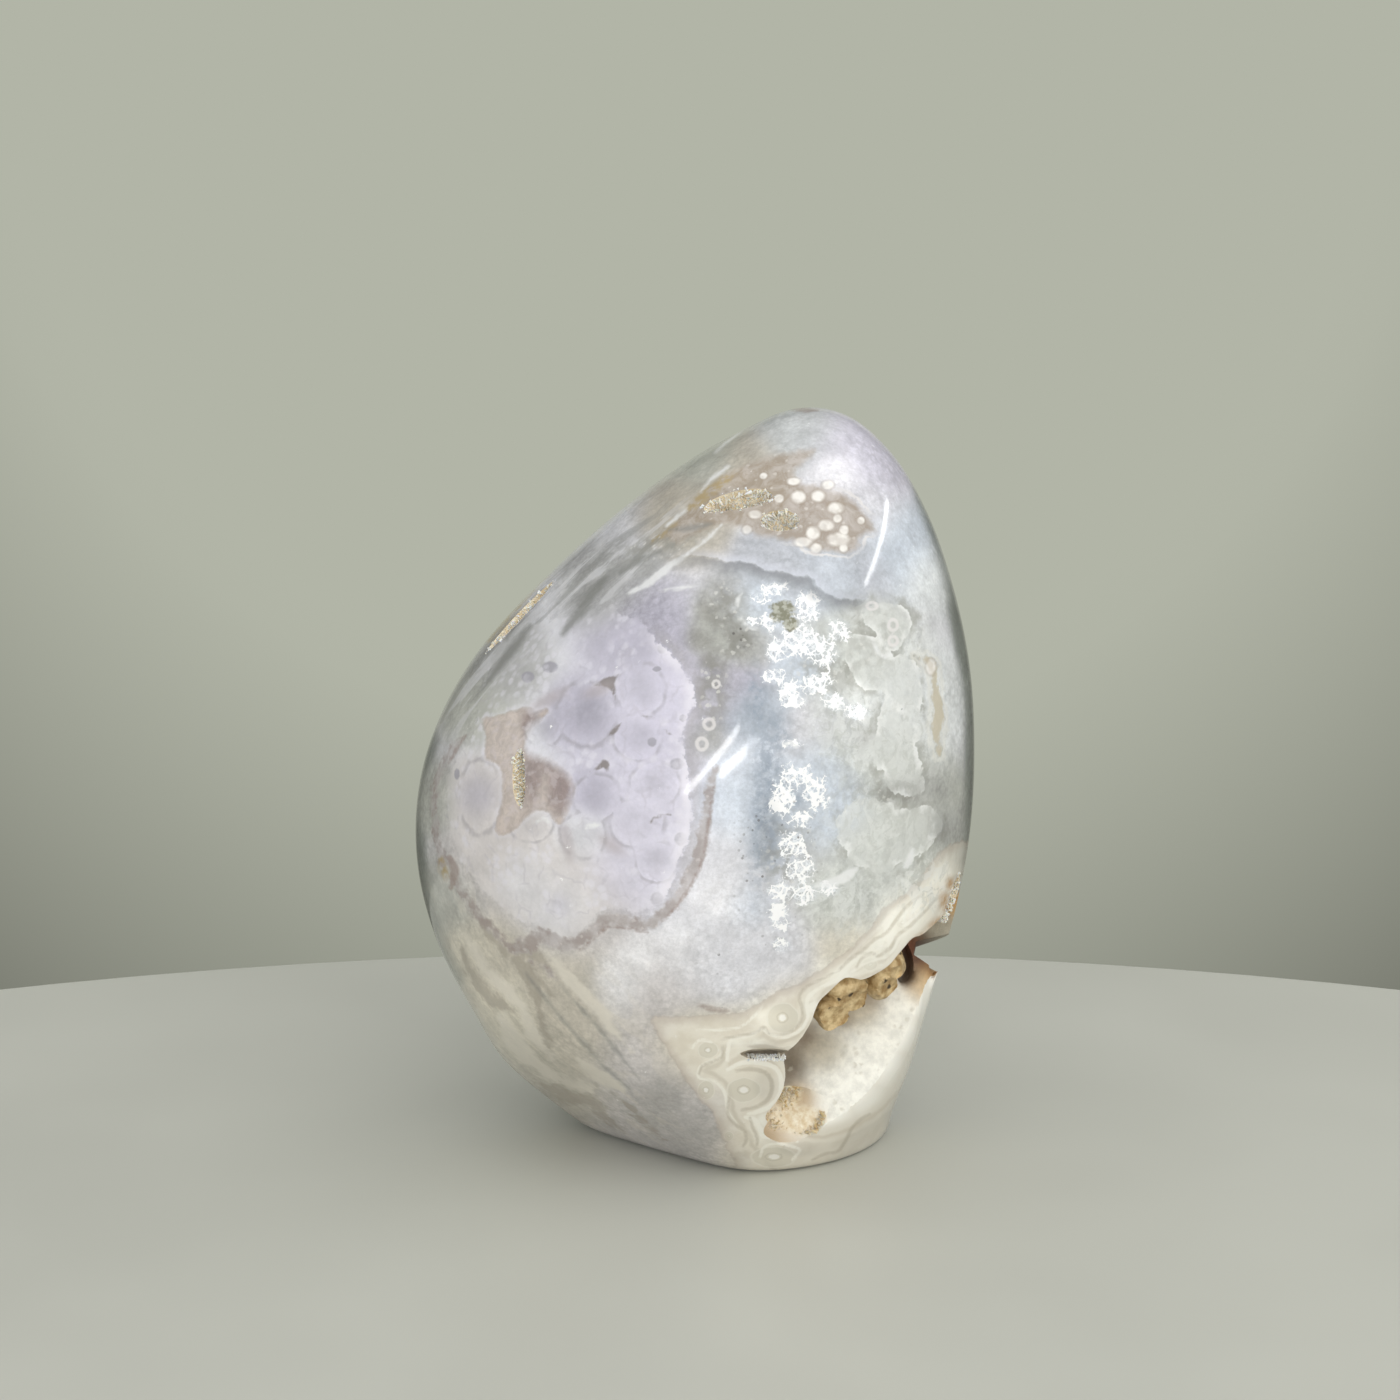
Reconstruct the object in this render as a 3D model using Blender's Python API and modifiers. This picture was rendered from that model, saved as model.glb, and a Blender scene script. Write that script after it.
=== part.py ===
"""A flower agate freeform: one hand-polished stone that stands on a flat base, with a crevice low at
the front right and small druse pockets. +X is to the viewer's right, +Y is away, +Z is up, and the
origin is on the floor under the middle of the stone. Tables are in millimetres, the scene in metres."""

import math

import bmesh
import bpy
import numpy as np
from mathutils import Matrix, Vector
from mathutils.bvhtree import BVHTree
from mathutils.noise import noise

MM = 0.001
NAME = "flower_agate_freeform"

# The whole stone
TOP = 103.2  # height of the rounded crown
UNDER = -15.0  # where the round form would end below the floor, if it weren't ground flat
FILLET = 2.0  # how softly the flat base turns into the sides
STONE_FINENESS = 5  # how many times its round form is divided

# Height, then how far the stone reaches to the left, right, front and back at that height
STATIONS = (
    (-8.0, -7.0, 22.0, -6.0, 17.0),
    (-2.0, -13.8, 27.0, -12.5, 23.0),
    (4.0, -20.2, 28.6, -17.5, 25.5),
    (11.0, -26.6, 30.8, -22.0, 28.0),
    (20.0, -31.2, 32.8, -26.5, 29.5),
    (30.0, -35.8, 35.4, -29.5, 31.5),
    (44.0, -38.4, 38.0, -31.5, 33.0),
    (57.0, -36.4, 38.5, -31.0, 32.5),
    (70.0, -29.6, 37.4, -28.0, 30.0),
    (80.0, -20.5, 35.0, -24.0, 26.5),
    (90.0, -9.1, 31.2, -17.5, 21.5),
    (97.0, 1.0, 26.8, -11.0, 16.0),
    (101.0, 8.4, 22.6, -5.5, 10.5),
    (TOP, 15.8, 15.8, 2.5, 2.5),
)

# Flats that the lapidary ground: a point, the way the flat faces, its depth and how soft its edge is
FLATS = (
    ((-1.0, -18.0, 8.0), (-0.43, -0.57, -0.70), 0.8, 1.2),
    ((-9.0, -14.0, 84.0), (-0.62, -0.34, 0.70), 0.4, 1.6),
    ((6.0, 30.0, 52.0), (0.10, 0.98, 0.16), 0.4, 2.0),
)

# A shallow saddle across the shoulder: middle, run, half length, half width, depth, way pressed
SADDLES = (((-17.0, -24.0, 73.0), (-21.0, 2.0, -22.0), 16.0, 6.5, 1.5, (0.45, 0.75, -0.45)),)

# The crevice: its mouth as seen straight from the front, as x and height, from the slit round
JAW_EDGE = (
    (11.7, 21.6), (12.6, 22.1), (13.6, 22.9), (14.3, 23.9), (15.5, 26.1), (15.9, 27.7), (16.4, 29.0),
    (17.2, 29.7), (18.1, 30.5), (18.9, 31.2), (19.5, 31.8), (20.5, 31.8), (22.1, 30.9), (23.2, 31.1),
    (24.6, 31.5), (26.0, 32.1), (26.9, 33.2), (28.0, 34.2), (29.0, 35.2), (30.2, 35.0),
)
OPEN_SIDE = ((43.0, 38.0), (46.0, 20.0), (44.0, 2.0), (27.0, 5.5))
LOWER_RIM = (
    (18.8, 8.0), (17.8, 7.3), (16.4, 6.8), (14.8, 7.4), (13.0, 8.1), (11.3, 8.7), (10.2, 9.8),
    (9.4, 11.2), (10.4, 12.7), (11.3, 14.0), (12.0, 16.0), (12.2, 18.1), (12.0, 20.0),
)
SIGHT = Vector((0.053, 0.938, -0.344))  # the way the crevice runs into the stone
IN_FRONT = -80.0  # a y well in front of the stone, from where its front surface is found
MOUTH_FRONT = -20.0  # y of the mouth's corners that lie outside the stone
MOUTH_LEAD = 15.0  # the cutter starts this far in front of the stone
CREVICE_DEPTH = 26.0
CREVICE_PIVOT = (28.0, 6.0)  # x and height that the crevice widens away from, inwards
CREVICE_WIDENS = 1.42
SLOPE_POINT = (18.8, -15.9, 8.3)
SLOPE_FACES = (0.08, -0.915, 0.395)  # the crevice's smooth white back wall

# The notch where the crevice runs out through the right side: x and height at y = NOTCH_FRONT
NOTCH_MOUTH = ((29.8, 34.6), (29.4, 32.6), (33.4, 29.8), (38.0, 31.0), (37.0, 36.5))
NOTCH_FRONT = -16.0
NOTCH_LEAD = 10.0
NOTCH_DEPTH = 50.0
NOTCH_NARROWS = 0.75

# Bare hollows, as ellipsoids: middle, the long way, then half length, half width and half depth
HOLLOWS = {
    "side_slit": ((9.6, -26.2, 21.9), (1.0, 0.2, -0.08), 3.6, 0.75, 5.0),
    "deep_hole": ((28.9, -6.0, 27.4), (0.0, 0.1, 1.0), 3.2, 1.3, 6.0),
}

# Lumps of chalcedony in the crevice: x, height, how far in from the mouth, half sizes
LUMPS = (
    (17.9, 27.5, 3.4, (2.6, 3.2, 2.4)),
    (20.2, 29.6, 3.6, (2.7, 3.4, 2.4)),
    (19.6, 31.6, 5.0, (3.2, 3.6, 2.6)),
    (24.8, 30.4, 4.0, (2.2, 3.2, 2.2)),
    (25.2, 32.8, 5.6, (3.0, 3.6, 2.6)),
)

# Crystal-lined pockets: where on the stone, the long way, half length, half width, depth, crystals
POCKETS = {
    "vug_crystals": ((14.0, -16.4, 11.5), (1.0, 0.1, 0.15), 5.4, 4.9, 5.6, 1.1),
    "crown_pocket_crystals": ((5.6, -13.1, 93.3), (0.96, -0.20, 0.18), 4.9, 1.7, 2.6, 0.50),
    "crown_seam_crystals": ((11.2, -16.5, 91.1), (1.0, 0.05, -0.05), 2.6, 1.6, 2.4, 0.45),
    "flower_slit_crystals": ((-22.7, -23.0, 58.6), (0.05, -0.42, -0.90), 3.9, 1.35, 2.4, 0.35),
    "shoulder_crystals": ((-23.6, -2.5, 75.6), (0.69, 0.12, 0.72), 6.6, 1.9, 2.2, 0.50),
    "side_pocket_crystals": ((34.6, -9.0, 38.2), (0.10, 0.35, 0.93), 3.4, 2.2, 2.6, 0.60),
}
VUG = "vug_crystals"  # the one pocket set by its own middle, not sunk from the surface
SUNK = 0.25  # how far a pocket's middle lies below the polish, as a share of its depth
GAP = 0.3  # between a crust and the stone that backs it
LINING = 0.3  # the crust's thickness between its crystals
RIM_DROP = 0.4  # how far a crust stays below the polish
VUG_FINENESS = 3
POCKET_FINENESS = 2
LUMP_FINENESS = 2
CRYSTAL_LEAST = 0.8  # a crystal's least height and how much more it may have, as shares of its size
CRYSTAL_VARIES = 0.5
CRYSTAL_SPREAD = 3.1

# How uneven the hollows and the lumps are: how far in or out, as a share, and how many bumps
HOLLOW_UNEVEN = (0.10, 1.6)
LUMP_UNEVEN = (0.18, 1.3)
FIRST_POCKET = 5  # the pockets are numbered from here, and each number gives its pocket a form of its own

# The crevice's walls are rough by nature: their grain size, and the size and height of their bumps
WALL_GRAIN = 2.3
WALL_BUMP = 4.0
WALL_ROUGH = 1.1
SMOOTH_UNDER = 35  # degrees: where the stone turns more sharply than this, it has an edge

COLOURS = {
    "agate_stone": ((0.66, 0.64, 0.70), 0.12),
    "crystals": ((0.74, 0.60, 0.44), 0.35),
}


def clear_scene():
    for thing in list(bpy.data.objects):
        bpy.data.objects.remove(thing)


def new_collection(name):
    made = bpy.data.collections.new(name)
    bpy.context.scene.collection.children.link(made)
    return made


def material(name, colour, roughness):
    made = bpy.data.materials.new(name)
    made.use_nodes = True
    shader = made.node_tree.nodes["Principled BSDF"]
    shader.inputs["Base Color"].default_value = (*colour, 1.0)
    shader.inputs["Roughness"].default_value = roughness
    shader.inputs["Metallic"].default_value = 0.0
    return made


def put_object(name, mesh_builder, collection):
    """Turns a bmesh in millimetres into an object in metres, with its faces outwards."""
    if mesh_builder.calc_volume(signed=True) < 0:
        bmesh.ops.reverse_faces(mesh_builder, faces=mesh_builder.faces)
    mesh_builder.transform(Matrix.Scale(MM, 4))
    mesh = bpy.data.meshes.new(name)
    mesh_builder.to_mesh(mesh)
    mesh_builder.free()
    made = bpy.data.objects.new(name, mesh)
    collection.objects.link(made)
    return made


def through(knots, values, at):
    """A smooth curve through the stations, read at the given heights."""
    slope = np.gradient(values, knots)
    k = np.clip(np.searchsorted(knots, at) - 1, 0, len(knots) - 2)
    step = knots[k + 1] - knots[k]
    t = np.clip((at - knots[k]) / step, 0, 1)
    start = (1 + 2 * t) * (1 - t) ** 2 * values[k] + t * (1 - t) ** 2 * step * slope[k]
    end = t * t * (3 - 2 * t) * values[k + 1] + t * t * (t - 1) * step * slope[k + 1]
    return start + end


def ring_share(height):
    """How wide a sphere from UNDER to TOP is at this height, as a share of its widest."""
    share = np.clip((height - UNDER) / (TOP - UNDER), 0, 1)
    return 2 * np.sqrt(share * (1 - share))


def unit(vector):
    vector = np.array(vector, float)
    return vector / np.linalg.norm(vector)


def stone_points(directions):
    """Moves the points of a unit sphere onto the stone."""
    height = UNDER + (TOP - UNDER) * (1 + directions[:, 2]) / 2
    level, left, right, front, back = np.array(STATIONS).T
    ring = np.maximum(ring_share(level), 1e-6)
    wide = (right - left) / 2 / ring
    deep = (back - front) / 2 / ring
    wide[-1], deep[-1] = wide[-2], deep[-2]
    x = through(level, (left + right) / 2, height) + directions[:, 0] * through(level, wide, height)
    y = through(level, (front + back) / 2, height) + directions[:, 1] * through(level, deep, height)
    points = np.stack([x, y, height], axis=1)
    for place, faces, depth, soft in FLATS:
        over = (points - np.array(place)) @ unit(faces) - depth
        points -= unit(faces) * (soft * np.logaddexp(0, over / soft))[:, None]
    for middle, run, half_length, half_width, depth, pressed in SADDLES:
        off = points - np.array(middle)
        along = off @ unit(run)
        across = np.linalg.norm(off - along[:, None] * unit(run), axis=1)
        share = np.exp(-((along / half_length) ** 2) - (across / half_width) ** 2)
        points += unit(pressed) * (depth * share)[:, None]
    height = points[:, 2]
    eased = (height + FILLET) ** 2 / (4 * FILLET)
    points[:, 2] = np.where(height > FILLET, height, np.where(height < -FILLET, 0.0, eased))
    return points


def stone_builder(fineness):
    """The stone as a bmesh in millimetres."""
    form = bmesh.new()
    bmesh.ops.create_icosphere(form, subdivisions=fineness, radius=1.0)
    directions = np.array([v.co.normalized() for v in form.verts])
    for vertex, point in zip(form.verts, stone_points(directions)):
        vertex.co = point
    form.normal_update()
    return form


def flatten_base(form):
    """Makes the ground base one flat face."""
    base = [f for f in form.faces if all(v.co.z < 1e-6 for v in f.verts)]
    bmesh.ops.dissolve_faces(form, faces=base, use_verts=True)
    return form


def shrunk(form, inset):
    moved = [v.co - v.normal * inset for v in form.verts]
    for vertex, point in zip(form.verts, moved):
        vertex.co = point
    return form


def make_uneven(form, uneven, number):
    """Moves each point in or out a little from the middle, so that it isn't a clean ellipsoid."""
    amount, bumps = uneven
    offset = Vector((17.3 * number, 4.1 * number, 9.7))
    for vertex in form.verts:
        vertex.co *= 1 + amount * noise(vertex.co * bumps + offset)


def ellipsoid(fineness, middle, along, out, half_length, half_width, half_depth, number):
    """An uneven ellipsoid in a pocket's own frame: its length along the stone, its depth inwards."""
    form = bmesh.new()
    bmesh.ops.create_icosphere(form, subdivisions=fineness, radius=1.0)
    make_uneven(form, HOLLOW_UNEVEN, number)
    out = Vector(out).normalized()
    along = Vector(along)
    along = (along - out * along.dot(out)).normalized()
    across = out.cross(along)
    frame = Matrix((along, across, out)).transposed().to_4x4()
    size = Matrix.Diagonal((half_length, half_width, half_depth, 1.0))
    form.transform(Matrix.Translation(middle) @ frame @ size)
    return form


def front_point(tree, x, height, beside):
    """The stone's front surface at this x and height, or a point at y = beside where there is none."""
    place, _, _, _ = tree.ray_cast(Vector((x, IN_FRONT, height)), Vector((0.0, 1.0, 0.0)))
    return place if place else Vector((x, beside, height))


def tunnel(rim, lead, depth, pivot, widens):
    """A cutter that passes through the mouth's rim along SIGHT, and widens or narrows inwards."""
    form = bmesh.new()
    front = [form.verts.new(p - SIGHT * lead) for p in rim]
    middle = [form.verts.new(p) for p in rim]
    end = []
    for p in rim:
        x = pivot[0] + (p.x - pivot[0]) * widens
        z = pivot[1] + (p.z - pivot[1]) * widens
        end.append(form.verts.new(Vector((x, p.y, z)) + SIGHT * depth))
    for near, far in ((front, middle), (middle, end)):
        for i in range(len(rim)):
            j = (i + 1) % len(rim)
            form.faces.new((near[i], near[j], far[j], far[i]))
    form.faces.new(front)
    form.faces.new(end)
    bmesh.ops.recalc_face_normals(form, faces=form.faces)
    bmesh.ops.triangulate(form, faces=form.faces[:])
    return form


def crevice_cutter(tree):
    rim = [front_point(tree, x, height, MOUTH_FRONT) for x, height in JAW_EDGE]
    rim += [Vector((x, MOUTH_FRONT, height)) for x, height in OPEN_SIDE]
    rim += [front_point(tree, x, height, MOUTH_FRONT) for x, height in LOWER_RIM]
    form = tunnel(rim, MOUTH_LEAD, CREVICE_DEPTH, CREVICE_PIVOT, CREVICE_WIDENS)
    cut = bmesh.ops.bisect_plane(
        form,
        geom=form.verts[:] + form.edges[:] + form.faces[:],
        plane_co=SLOPE_POINT,
        plane_no=SLOPE_FACES,
        clear_inner=True,
    )
    opened = [e for e in cut["geom_cut"] if isinstance(e, bmesh.types.BMEdge)]
    bmesh.ops.triangle_fill(form, edges=opened, use_beauty=True)
    return form


def notch_cutter():
    rim = [Vector((x, NOTCH_FRONT, height)) for x, height in NOTCH_MOUTH]
    middle = (sum(p.x for p in rim) / len(rim), sum(p.z for p in rim) / len(rim))
    return tunnel(rim, NOTCH_LEAD, NOTCH_DEPTH, middle, NOTCH_NARROWS)


def lump(tree, x, height, inwards, half_sizes, number):
    place = front_point(tree, x, height, MOUTH_FRONT) + SIGHT * inwards
    form = bmesh.new()
    bmesh.ops.create_icosphere(form, subdivisions=LUMP_FINENESS, radius=1.0)
    make_uneven(form, LUMP_UNEVEN, number)
    form.transform(Matrix.Translation(place) @ Matrix.Diagonal((*half_sizes, 1.0)))
    return form


def pocket_frame(tree, name):
    """A pocket's middle, its long way, the way out of it, and its half sizes."""
    place, along, half_length, half_width, depth, _ = POCKETS[name]
    near, faces, _, _ = tree.find_nearest(Vector(place))
    middle = Vector(place) if name == VUG else near - faces * SUNK * depth
    return middle, along, faces, half_length, half_width, depth


def fineness_of(name):
    return VUG_FINENESS if name == VUG else POCKET_FINENESS


def crystal_hollow(form, crystal):
    """Dents every face of a hollow by one pyramid, which leaves a flat-faced crystal on the crust."""
    tips = bmesh.ops.poke(form, faces=form.faces[:])["verts"]
    form.normal_update()
    for tip in tips:
        height = CRYSTAL_LEAST + CRYSTAL_VARIES * noise(tip.co * CRYSTAL_SPREAD)
        tip.co -= tip.normal * crystal * height


def boolean(target, other, operation):
    made = target.modifiers.new(f"{operation.lower()} {other.name}", "BOOLEAN")
    made.operation = operation
    made.solver = "EXACT"
    made.object = other


def roughen(thing):
    """Makes a cutter's flat walls even in grain and gently lumpy."""
    grain = thing.modifiers.new("even grain", "REMESH")
    grain.mode = "VOXEL"
    grain.voxel_size = WALL_GRAIN * MM
    bumps = bpy.data.textures.new("wall bumps", "CLOUDS")
    bumps.noise_scale = WALL_BUMP * MM
    rough = thing.modifiers.new("lumps", "DISPLACE")
    rough.texture = bumps
    rough.texture_coords = "LOCAL"
    rough.strength = WALL_ROUGH * MM


def pieces_of(form):
    """The sets of faces that hang together."""
    left = set(form.faces)
    pieces = []
    while left:
        piece = set()
        edge = {left.pop()}
        while edge:
            piece |= edge
            edge = {n for f in edge for e in f.edges for n in e.link_faces} - piece
        left -= piece
        pieces.append(piece)
    return pieces


def keep_largest(thing):
    """Applies the modifiers, and drops crumbs that a cut has left beside the main piece."""
    form = bmesh.new()
    form.from_object(thing, bpy.context.evaluated_depsgraph_get())
    pieces = sorted(pieces_of(form), key=lambda piece: sum(f.calc_area() for f in piece))
    crumbs = [f for piece in pieces[:-1] for f in piece]
    bmesh.ops.delete(form, geom=crumbs, context="FACES")
    thing.modifiers.clear()
    form.to_mesh(thing.data)
    form.free()


def hide_cutter(thing):
    thing.hide_render = True
    thing.display_type = "WIRE"


def build_stone(parts, cutters, tree):
    stone = put_object("agate_stone", flatten_base(stone_builder(STONE_FINENESS)), parts)
    stone.data.materials.append(material("agate_stone", *COLOURS["agate_stone"]))
    hollows = {
        "cut_crevice": crevice_cutter(tree),
        "cut_notch": notch_cutter(),
    }
    for number, (name, (middle, along, *sizes)) in enumerate(HOLLOWS.items()):
        hollows[f"cut_{name}"] = ellipsoid(POCKET_FINENESS, middle, along, -SIGHT, *sizes, number)
    for number, name in enumerate(POCKETS, start=FIRST_POCKET):
        middle, along, out, *sizes = pocket_frame(tree, name)
        hollows[f"cut_{name}"] = ellipsoid(fineness_of(name), middle, along, out, *sizes, number)
    for name, form in hollows.items():
        cutter = put_object(name, form, cutters)
        hide_cutter(cutter)
        if name == "cut_crevice":
            roughen(cutter)
        boolean(stone, cutter, "DIFFERENCE")
    for number, place_and_size in enumerate(LUMPS):
        knob = put_object(f"lump_{number + 1}", lump(tree, *place_and_size, number), cutters)
        hide_cutter(knob)
        boolean(stone, knob, "UNION")
    return stone


def build_crust(name, number, parts, cutters, tree, limit, crevice):
    """A crust of crystals that lines one pocket, held off the stone by GAP."""
    middle, along, out, *sizes = pocket_frame(tree, name)
    outer = [size - GAP for size in sizes]
    inner = [size - GAP - LINING for size in sizes]
    crust = put_object(name, ellipsoid(POCKET_FINENESS, middle, along, out, *outer, number), parts)
    crust.data.materials.append(bpy.data.materials["druse_crystals"])
    field = ellipsoid(fineness_of(name), middle, along, out, *inner, number)
    crystal_hollow(field, POCKETS[name][5])
    hollow = put_object(f"inside_{name}", field, cutters)
    hide_cutter(hollow)
    boolean(crust, hollow, "DIFFERENCE")
    boolean(crust, limit, "INTERSECT")
    if name == VUG:
        boolean(crust, crevice, "DIFFERENCE")
    return crust


def main():
    clear_scene()
    parts = new_collection(NAME)
    cutters = new_collection("cutters")
    form = stone_builder(STONE_FINENESS)
    tree = BVHTree.FromBMesh(form)
    form.free()
    stone = build_stone(parts, cutters, tree)
    crevice = bpy.data.objects["cut_crevice"]
    limit = put_object("below_the_polish", shrunk(stone_builder(STONE_FINENESS), RIM_DROP), cutters)
    hide_cutter(limit)
    material("druse_crystals", *COLOURS["crystals"])
    for number, name in enumerate(POCKETS, start=FIRST_POCKET):
        crust = build_crust(name, number, parts, cutters, tree, limit, crevice)
        keep_largest(crust)
        crust.data.shade_flat()
    stone.data.shade_smooth()
    stone.data.set_sharp_from_angle(angle=math.radians(SMOOTH_UNDER))


main()
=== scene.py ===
# %% [markdown]
# # A flower agate freeform
#
# This lesson dresses one polished stone for its portrait. The stone is flower agate: milky
# lavender chalcedony with grey-brown veins, white lace and small hollows lined with golden
# quartz crystals. Someone ground it into a leaning pebble and polished it by hand.
#
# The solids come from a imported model, in metres, with Z up. They are correct in shape and size
# but plain, so each step below makes a finer piece that stands where its solid stands.

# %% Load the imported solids
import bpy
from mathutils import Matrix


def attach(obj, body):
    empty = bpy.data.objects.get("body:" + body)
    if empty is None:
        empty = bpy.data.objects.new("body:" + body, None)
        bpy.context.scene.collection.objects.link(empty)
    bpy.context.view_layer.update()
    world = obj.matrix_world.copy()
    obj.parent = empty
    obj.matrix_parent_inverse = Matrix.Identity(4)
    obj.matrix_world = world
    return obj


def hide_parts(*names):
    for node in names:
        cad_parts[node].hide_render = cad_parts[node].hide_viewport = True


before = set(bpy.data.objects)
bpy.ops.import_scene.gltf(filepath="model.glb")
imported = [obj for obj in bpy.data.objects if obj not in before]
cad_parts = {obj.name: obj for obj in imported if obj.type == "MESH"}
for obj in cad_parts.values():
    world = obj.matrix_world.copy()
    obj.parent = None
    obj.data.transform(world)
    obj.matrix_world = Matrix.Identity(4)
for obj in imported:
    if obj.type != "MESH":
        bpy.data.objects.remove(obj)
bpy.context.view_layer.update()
print("solids:", sorted(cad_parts))

# %% Tools for the whole lesson
import math
import random

import bmesh
import bpy
import numpy as np
from mathutils import Matrix, Vector
from mathutils.bvhtree import BVHTree
from mathutils.noise import noise

MM = 0.001
BODY = "root"


def srgb(red, green, blue):
    """A colour as it is seen, 0 to 255 a channel, turned into the linear one that sockets take."""
    shares = [value / 255 for value in (red, green, blue)]
    linear = [s / 12.92 if s <= 0.04045 else ((s + 0.055) / 1.055) ** 2.4 for s in shares]
    return (*linear, 1.0)


bpy.context.scene.view_settings.view_transform = "Standard"
print("colours show as they are set, with no film curve")

# %% [markdown]
# ## The camera
#
# A stone this size is photographed from an arm's length, a little above it. The camera could be
# placed by eye, but everything painted on the stone is placed by where it shows in the picture,
# so it is set by numbers: the distance, the height, the tilt, and a focal length in pixels of a
# square picture 1400 wide. A pixel can then be followed to the stone, and the stone to a pixel.

# %% Camera
PICTURE_PX = 1400
FOCAL_PX = 2903
CAMERA_AWAY = 0.4
CAMERA_RISE = math.radians(15)
CAMERA_TILT = math.radians(13.26)
AIM_HEIGHT = 0.051
AIM_SIDE_PX = 6.5
SENSOR_MM = 36

portrait = bpy.data.cameras.new("portrait_camera")
camera = bpy.data.objects.new("portrait_camera", portrait)
bpy.context.scene.collection.objects.link(camera)
portrait.sensor_width = SENSOR_MM
portrait.lens = FOCAL_PX / PICTURE_PX * SENSOR_MM
portrait.clip_start = 0.01
camera.location = (
    0,
    -CAMERA_AWAY * math.cos(CAMERA_RISE),
    AIM_HEIGHT + CAMERA_AWAY * math.sin(CAMERA_RISE),
)
camera.rotation_euler = (math.pi / 2 - CAMERA_TILT, 0, -math.atan(AIM_SIDE_PX / FOCAL_PX))
bpy.context.scene.camera = camera
bpy.context.view_layer.update()
print("camera at", [round(value, 4) for value in camera.location])


def picture_places(points):
    """Where points, in millimetres, show in the picture, in pixels from its top left corner."""
    inverse = np.array(camera.matrix_world.inverted())
    seen = points * MM @ inverse[:3, :3].T + inverse[:3, 3]
    half = PICTURE_PX / 2
    right = half + FOCAL_PX * seen[:, 0] / -seen[:, 2]
    down = half - FOCAL_PX * seen[:, 1] / -seen[:, 2]
    return np.stack([right, down], axis=1)

# %% [markdown]
# ## The polished form
#
# A lapidary grinds a freeform by holding the rough to a wheel and following what is there, so
# the form is smooth but has no symmetry. It could be sculpted from a lump, but a stone that
# stands level and fits its solid is easier to get from sections: how far it reaches to the
# left, right, front and back at each height, with smooth curves between. A unit sphere of small
# triangles is moved onto those sections. Flats and a saddle, where the wheel took more, come
# after, and the floor cuts the base off level.

# %% Sections of the stone, in millimetres
TOP = 103.2
UNDER = -15.0
FILLET = 2.0
STATIONS = (
    (-8.0, -7.0, 22.0, -6.0, 17.0),
    (-2.0, -13.8, 27.0, -12.5, 23.0),
    (4.0, -20.2, 28.6, -17.5, 25.5),
    (11.0, -26.6, 30.8, -22.0, 28.0),
    (20.0, -31.2, 32.8, -26.5, 29.5),
    (30.0, -35.8, 35.4, -29.5, 31.5),
    (44.0, -38.4, 38.0, -31.5, 33.0),
    (57.0, -36.4, 38.5, -31.0, 32.5),
    (70.0, -29.6, 37.4, -28.0, 30.0),
    (80.0, -20.5, 35.0, -24.0, 26.5),
    (90.0, -9.1, 31.2, -17.5, 21.5),
    (97.0, 1.0, 26.8, -11.0, 16.0),
    (101.0, 8.4, 22.6, -5.5, 10.5),
    (TOP, 15.8, 15.8, 2.5, 2.5),
)
FLATS = (
    ((-1.0, -18.0, 8.0), (-0.43, -0.57, -0.70), 0.8, 1.2),
    ((-9.0, -14.0, 84.0), (-0.62, -0.34, 0.70), 0.4, 1.6),
    ((6.0, 30.0, 52.0), (0.10, 0.98, 0.16), 0.4, 2.0),
)
SADDLE = ((-17.0, -24.0, 73.0), (-21.0, 2.0, -22.0), 16.0, 6.5, 1.5, (0.45, 0.75, -0.45))
print(len(STATIONS), "sections,", len(FLATS), "flats and one saddle")

# %% From a unit sphere to the stone


def through(knots, values, at):
    """A smooth curve through the stations, read at the given heights."""
    slope = np.gradient(values, knots)
    k = np.clip(np.searchsorted(knots, at) - 1, 0, len(knots) - 2)
    step = knots[k + 1] - knots[k]
    t = np.clip((at - knots[k]) / step, 0, 1)
    start = (1 + 2 * t) * (1 - t) ** 2 * values[k] + t * (1 - t) ** 2 * step * slope[k]
    end = t * t * (3 - 2 * t) * values[k + 1] + t * t * (t - 1) * step * slope[k + 1]
    return start + end


def unit(vector):
    vector = np.array(vector, float)
    return vector / np.linalg.norm(vector)


def on_sections(directions):
    """Points of the sections, before flats and saddle, for points of a unit sphere."""
    height = UNDER + (TOP - UNDER) * (1 + directions[:, 2]) / 2
    level, left, right, front, back = np.array(STATIONS).T
    share = np.clip((level - UNDER) / (TOP - UNDER), 0, 1)
    ring = np.maximum(2 * np.sqrt(share * (1 - share)), 1e-6)
    wide = (right - left) / 2 / ring
    deep = (back - front) / 2 / ring
    wide[-1], deep[-1] = wide[-2], deep[-2]
    x = through(level, (left + right) / 2, height) + directions[:, 0] * through(level, wide, height)
    y = through(level, (front + back) / 2, height) + directions[:, 1] * through(level, deep, height)
    return np.stack([x, y, height], axis=1)


def stone_points(directions):
    """Moves the points of a unit sphere onto the stone."""
    points = on_sections(directions)
    for place, faces, depth, soft in FLATS:
        over = (points - np.array(place)) @ unit(faces) - depth
        points -= unit(faces) * (soft * np.logaddexp(0, over / soft))[:, None]
    middle, run, half_length, half_width, depth, pressed = SADDLE
    off = points - np.array(middle)
    along = off @ unit(run)
    across = np.linalg.norm(off - along[:, None] * unit(run), axis=1)
    share = np.exp(-((along / half_length) ** 2) - (across / half_width) ** 2)
    points += unit(pressed) * (depth * share)[:, None]
    height = points[:, 2]
    eased = (height + FILLET) ** 2 / (4 * FILLET)
    points[:, 2] = np.where(height > FILLET, height, np.where(height < -FILLET, 0.0, eased))
    return points


print("the top comes to", round(float(stone_points(np.array([[0.0, 0.0, 1.0]]))[0, 2]), 2), "mm")

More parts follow.
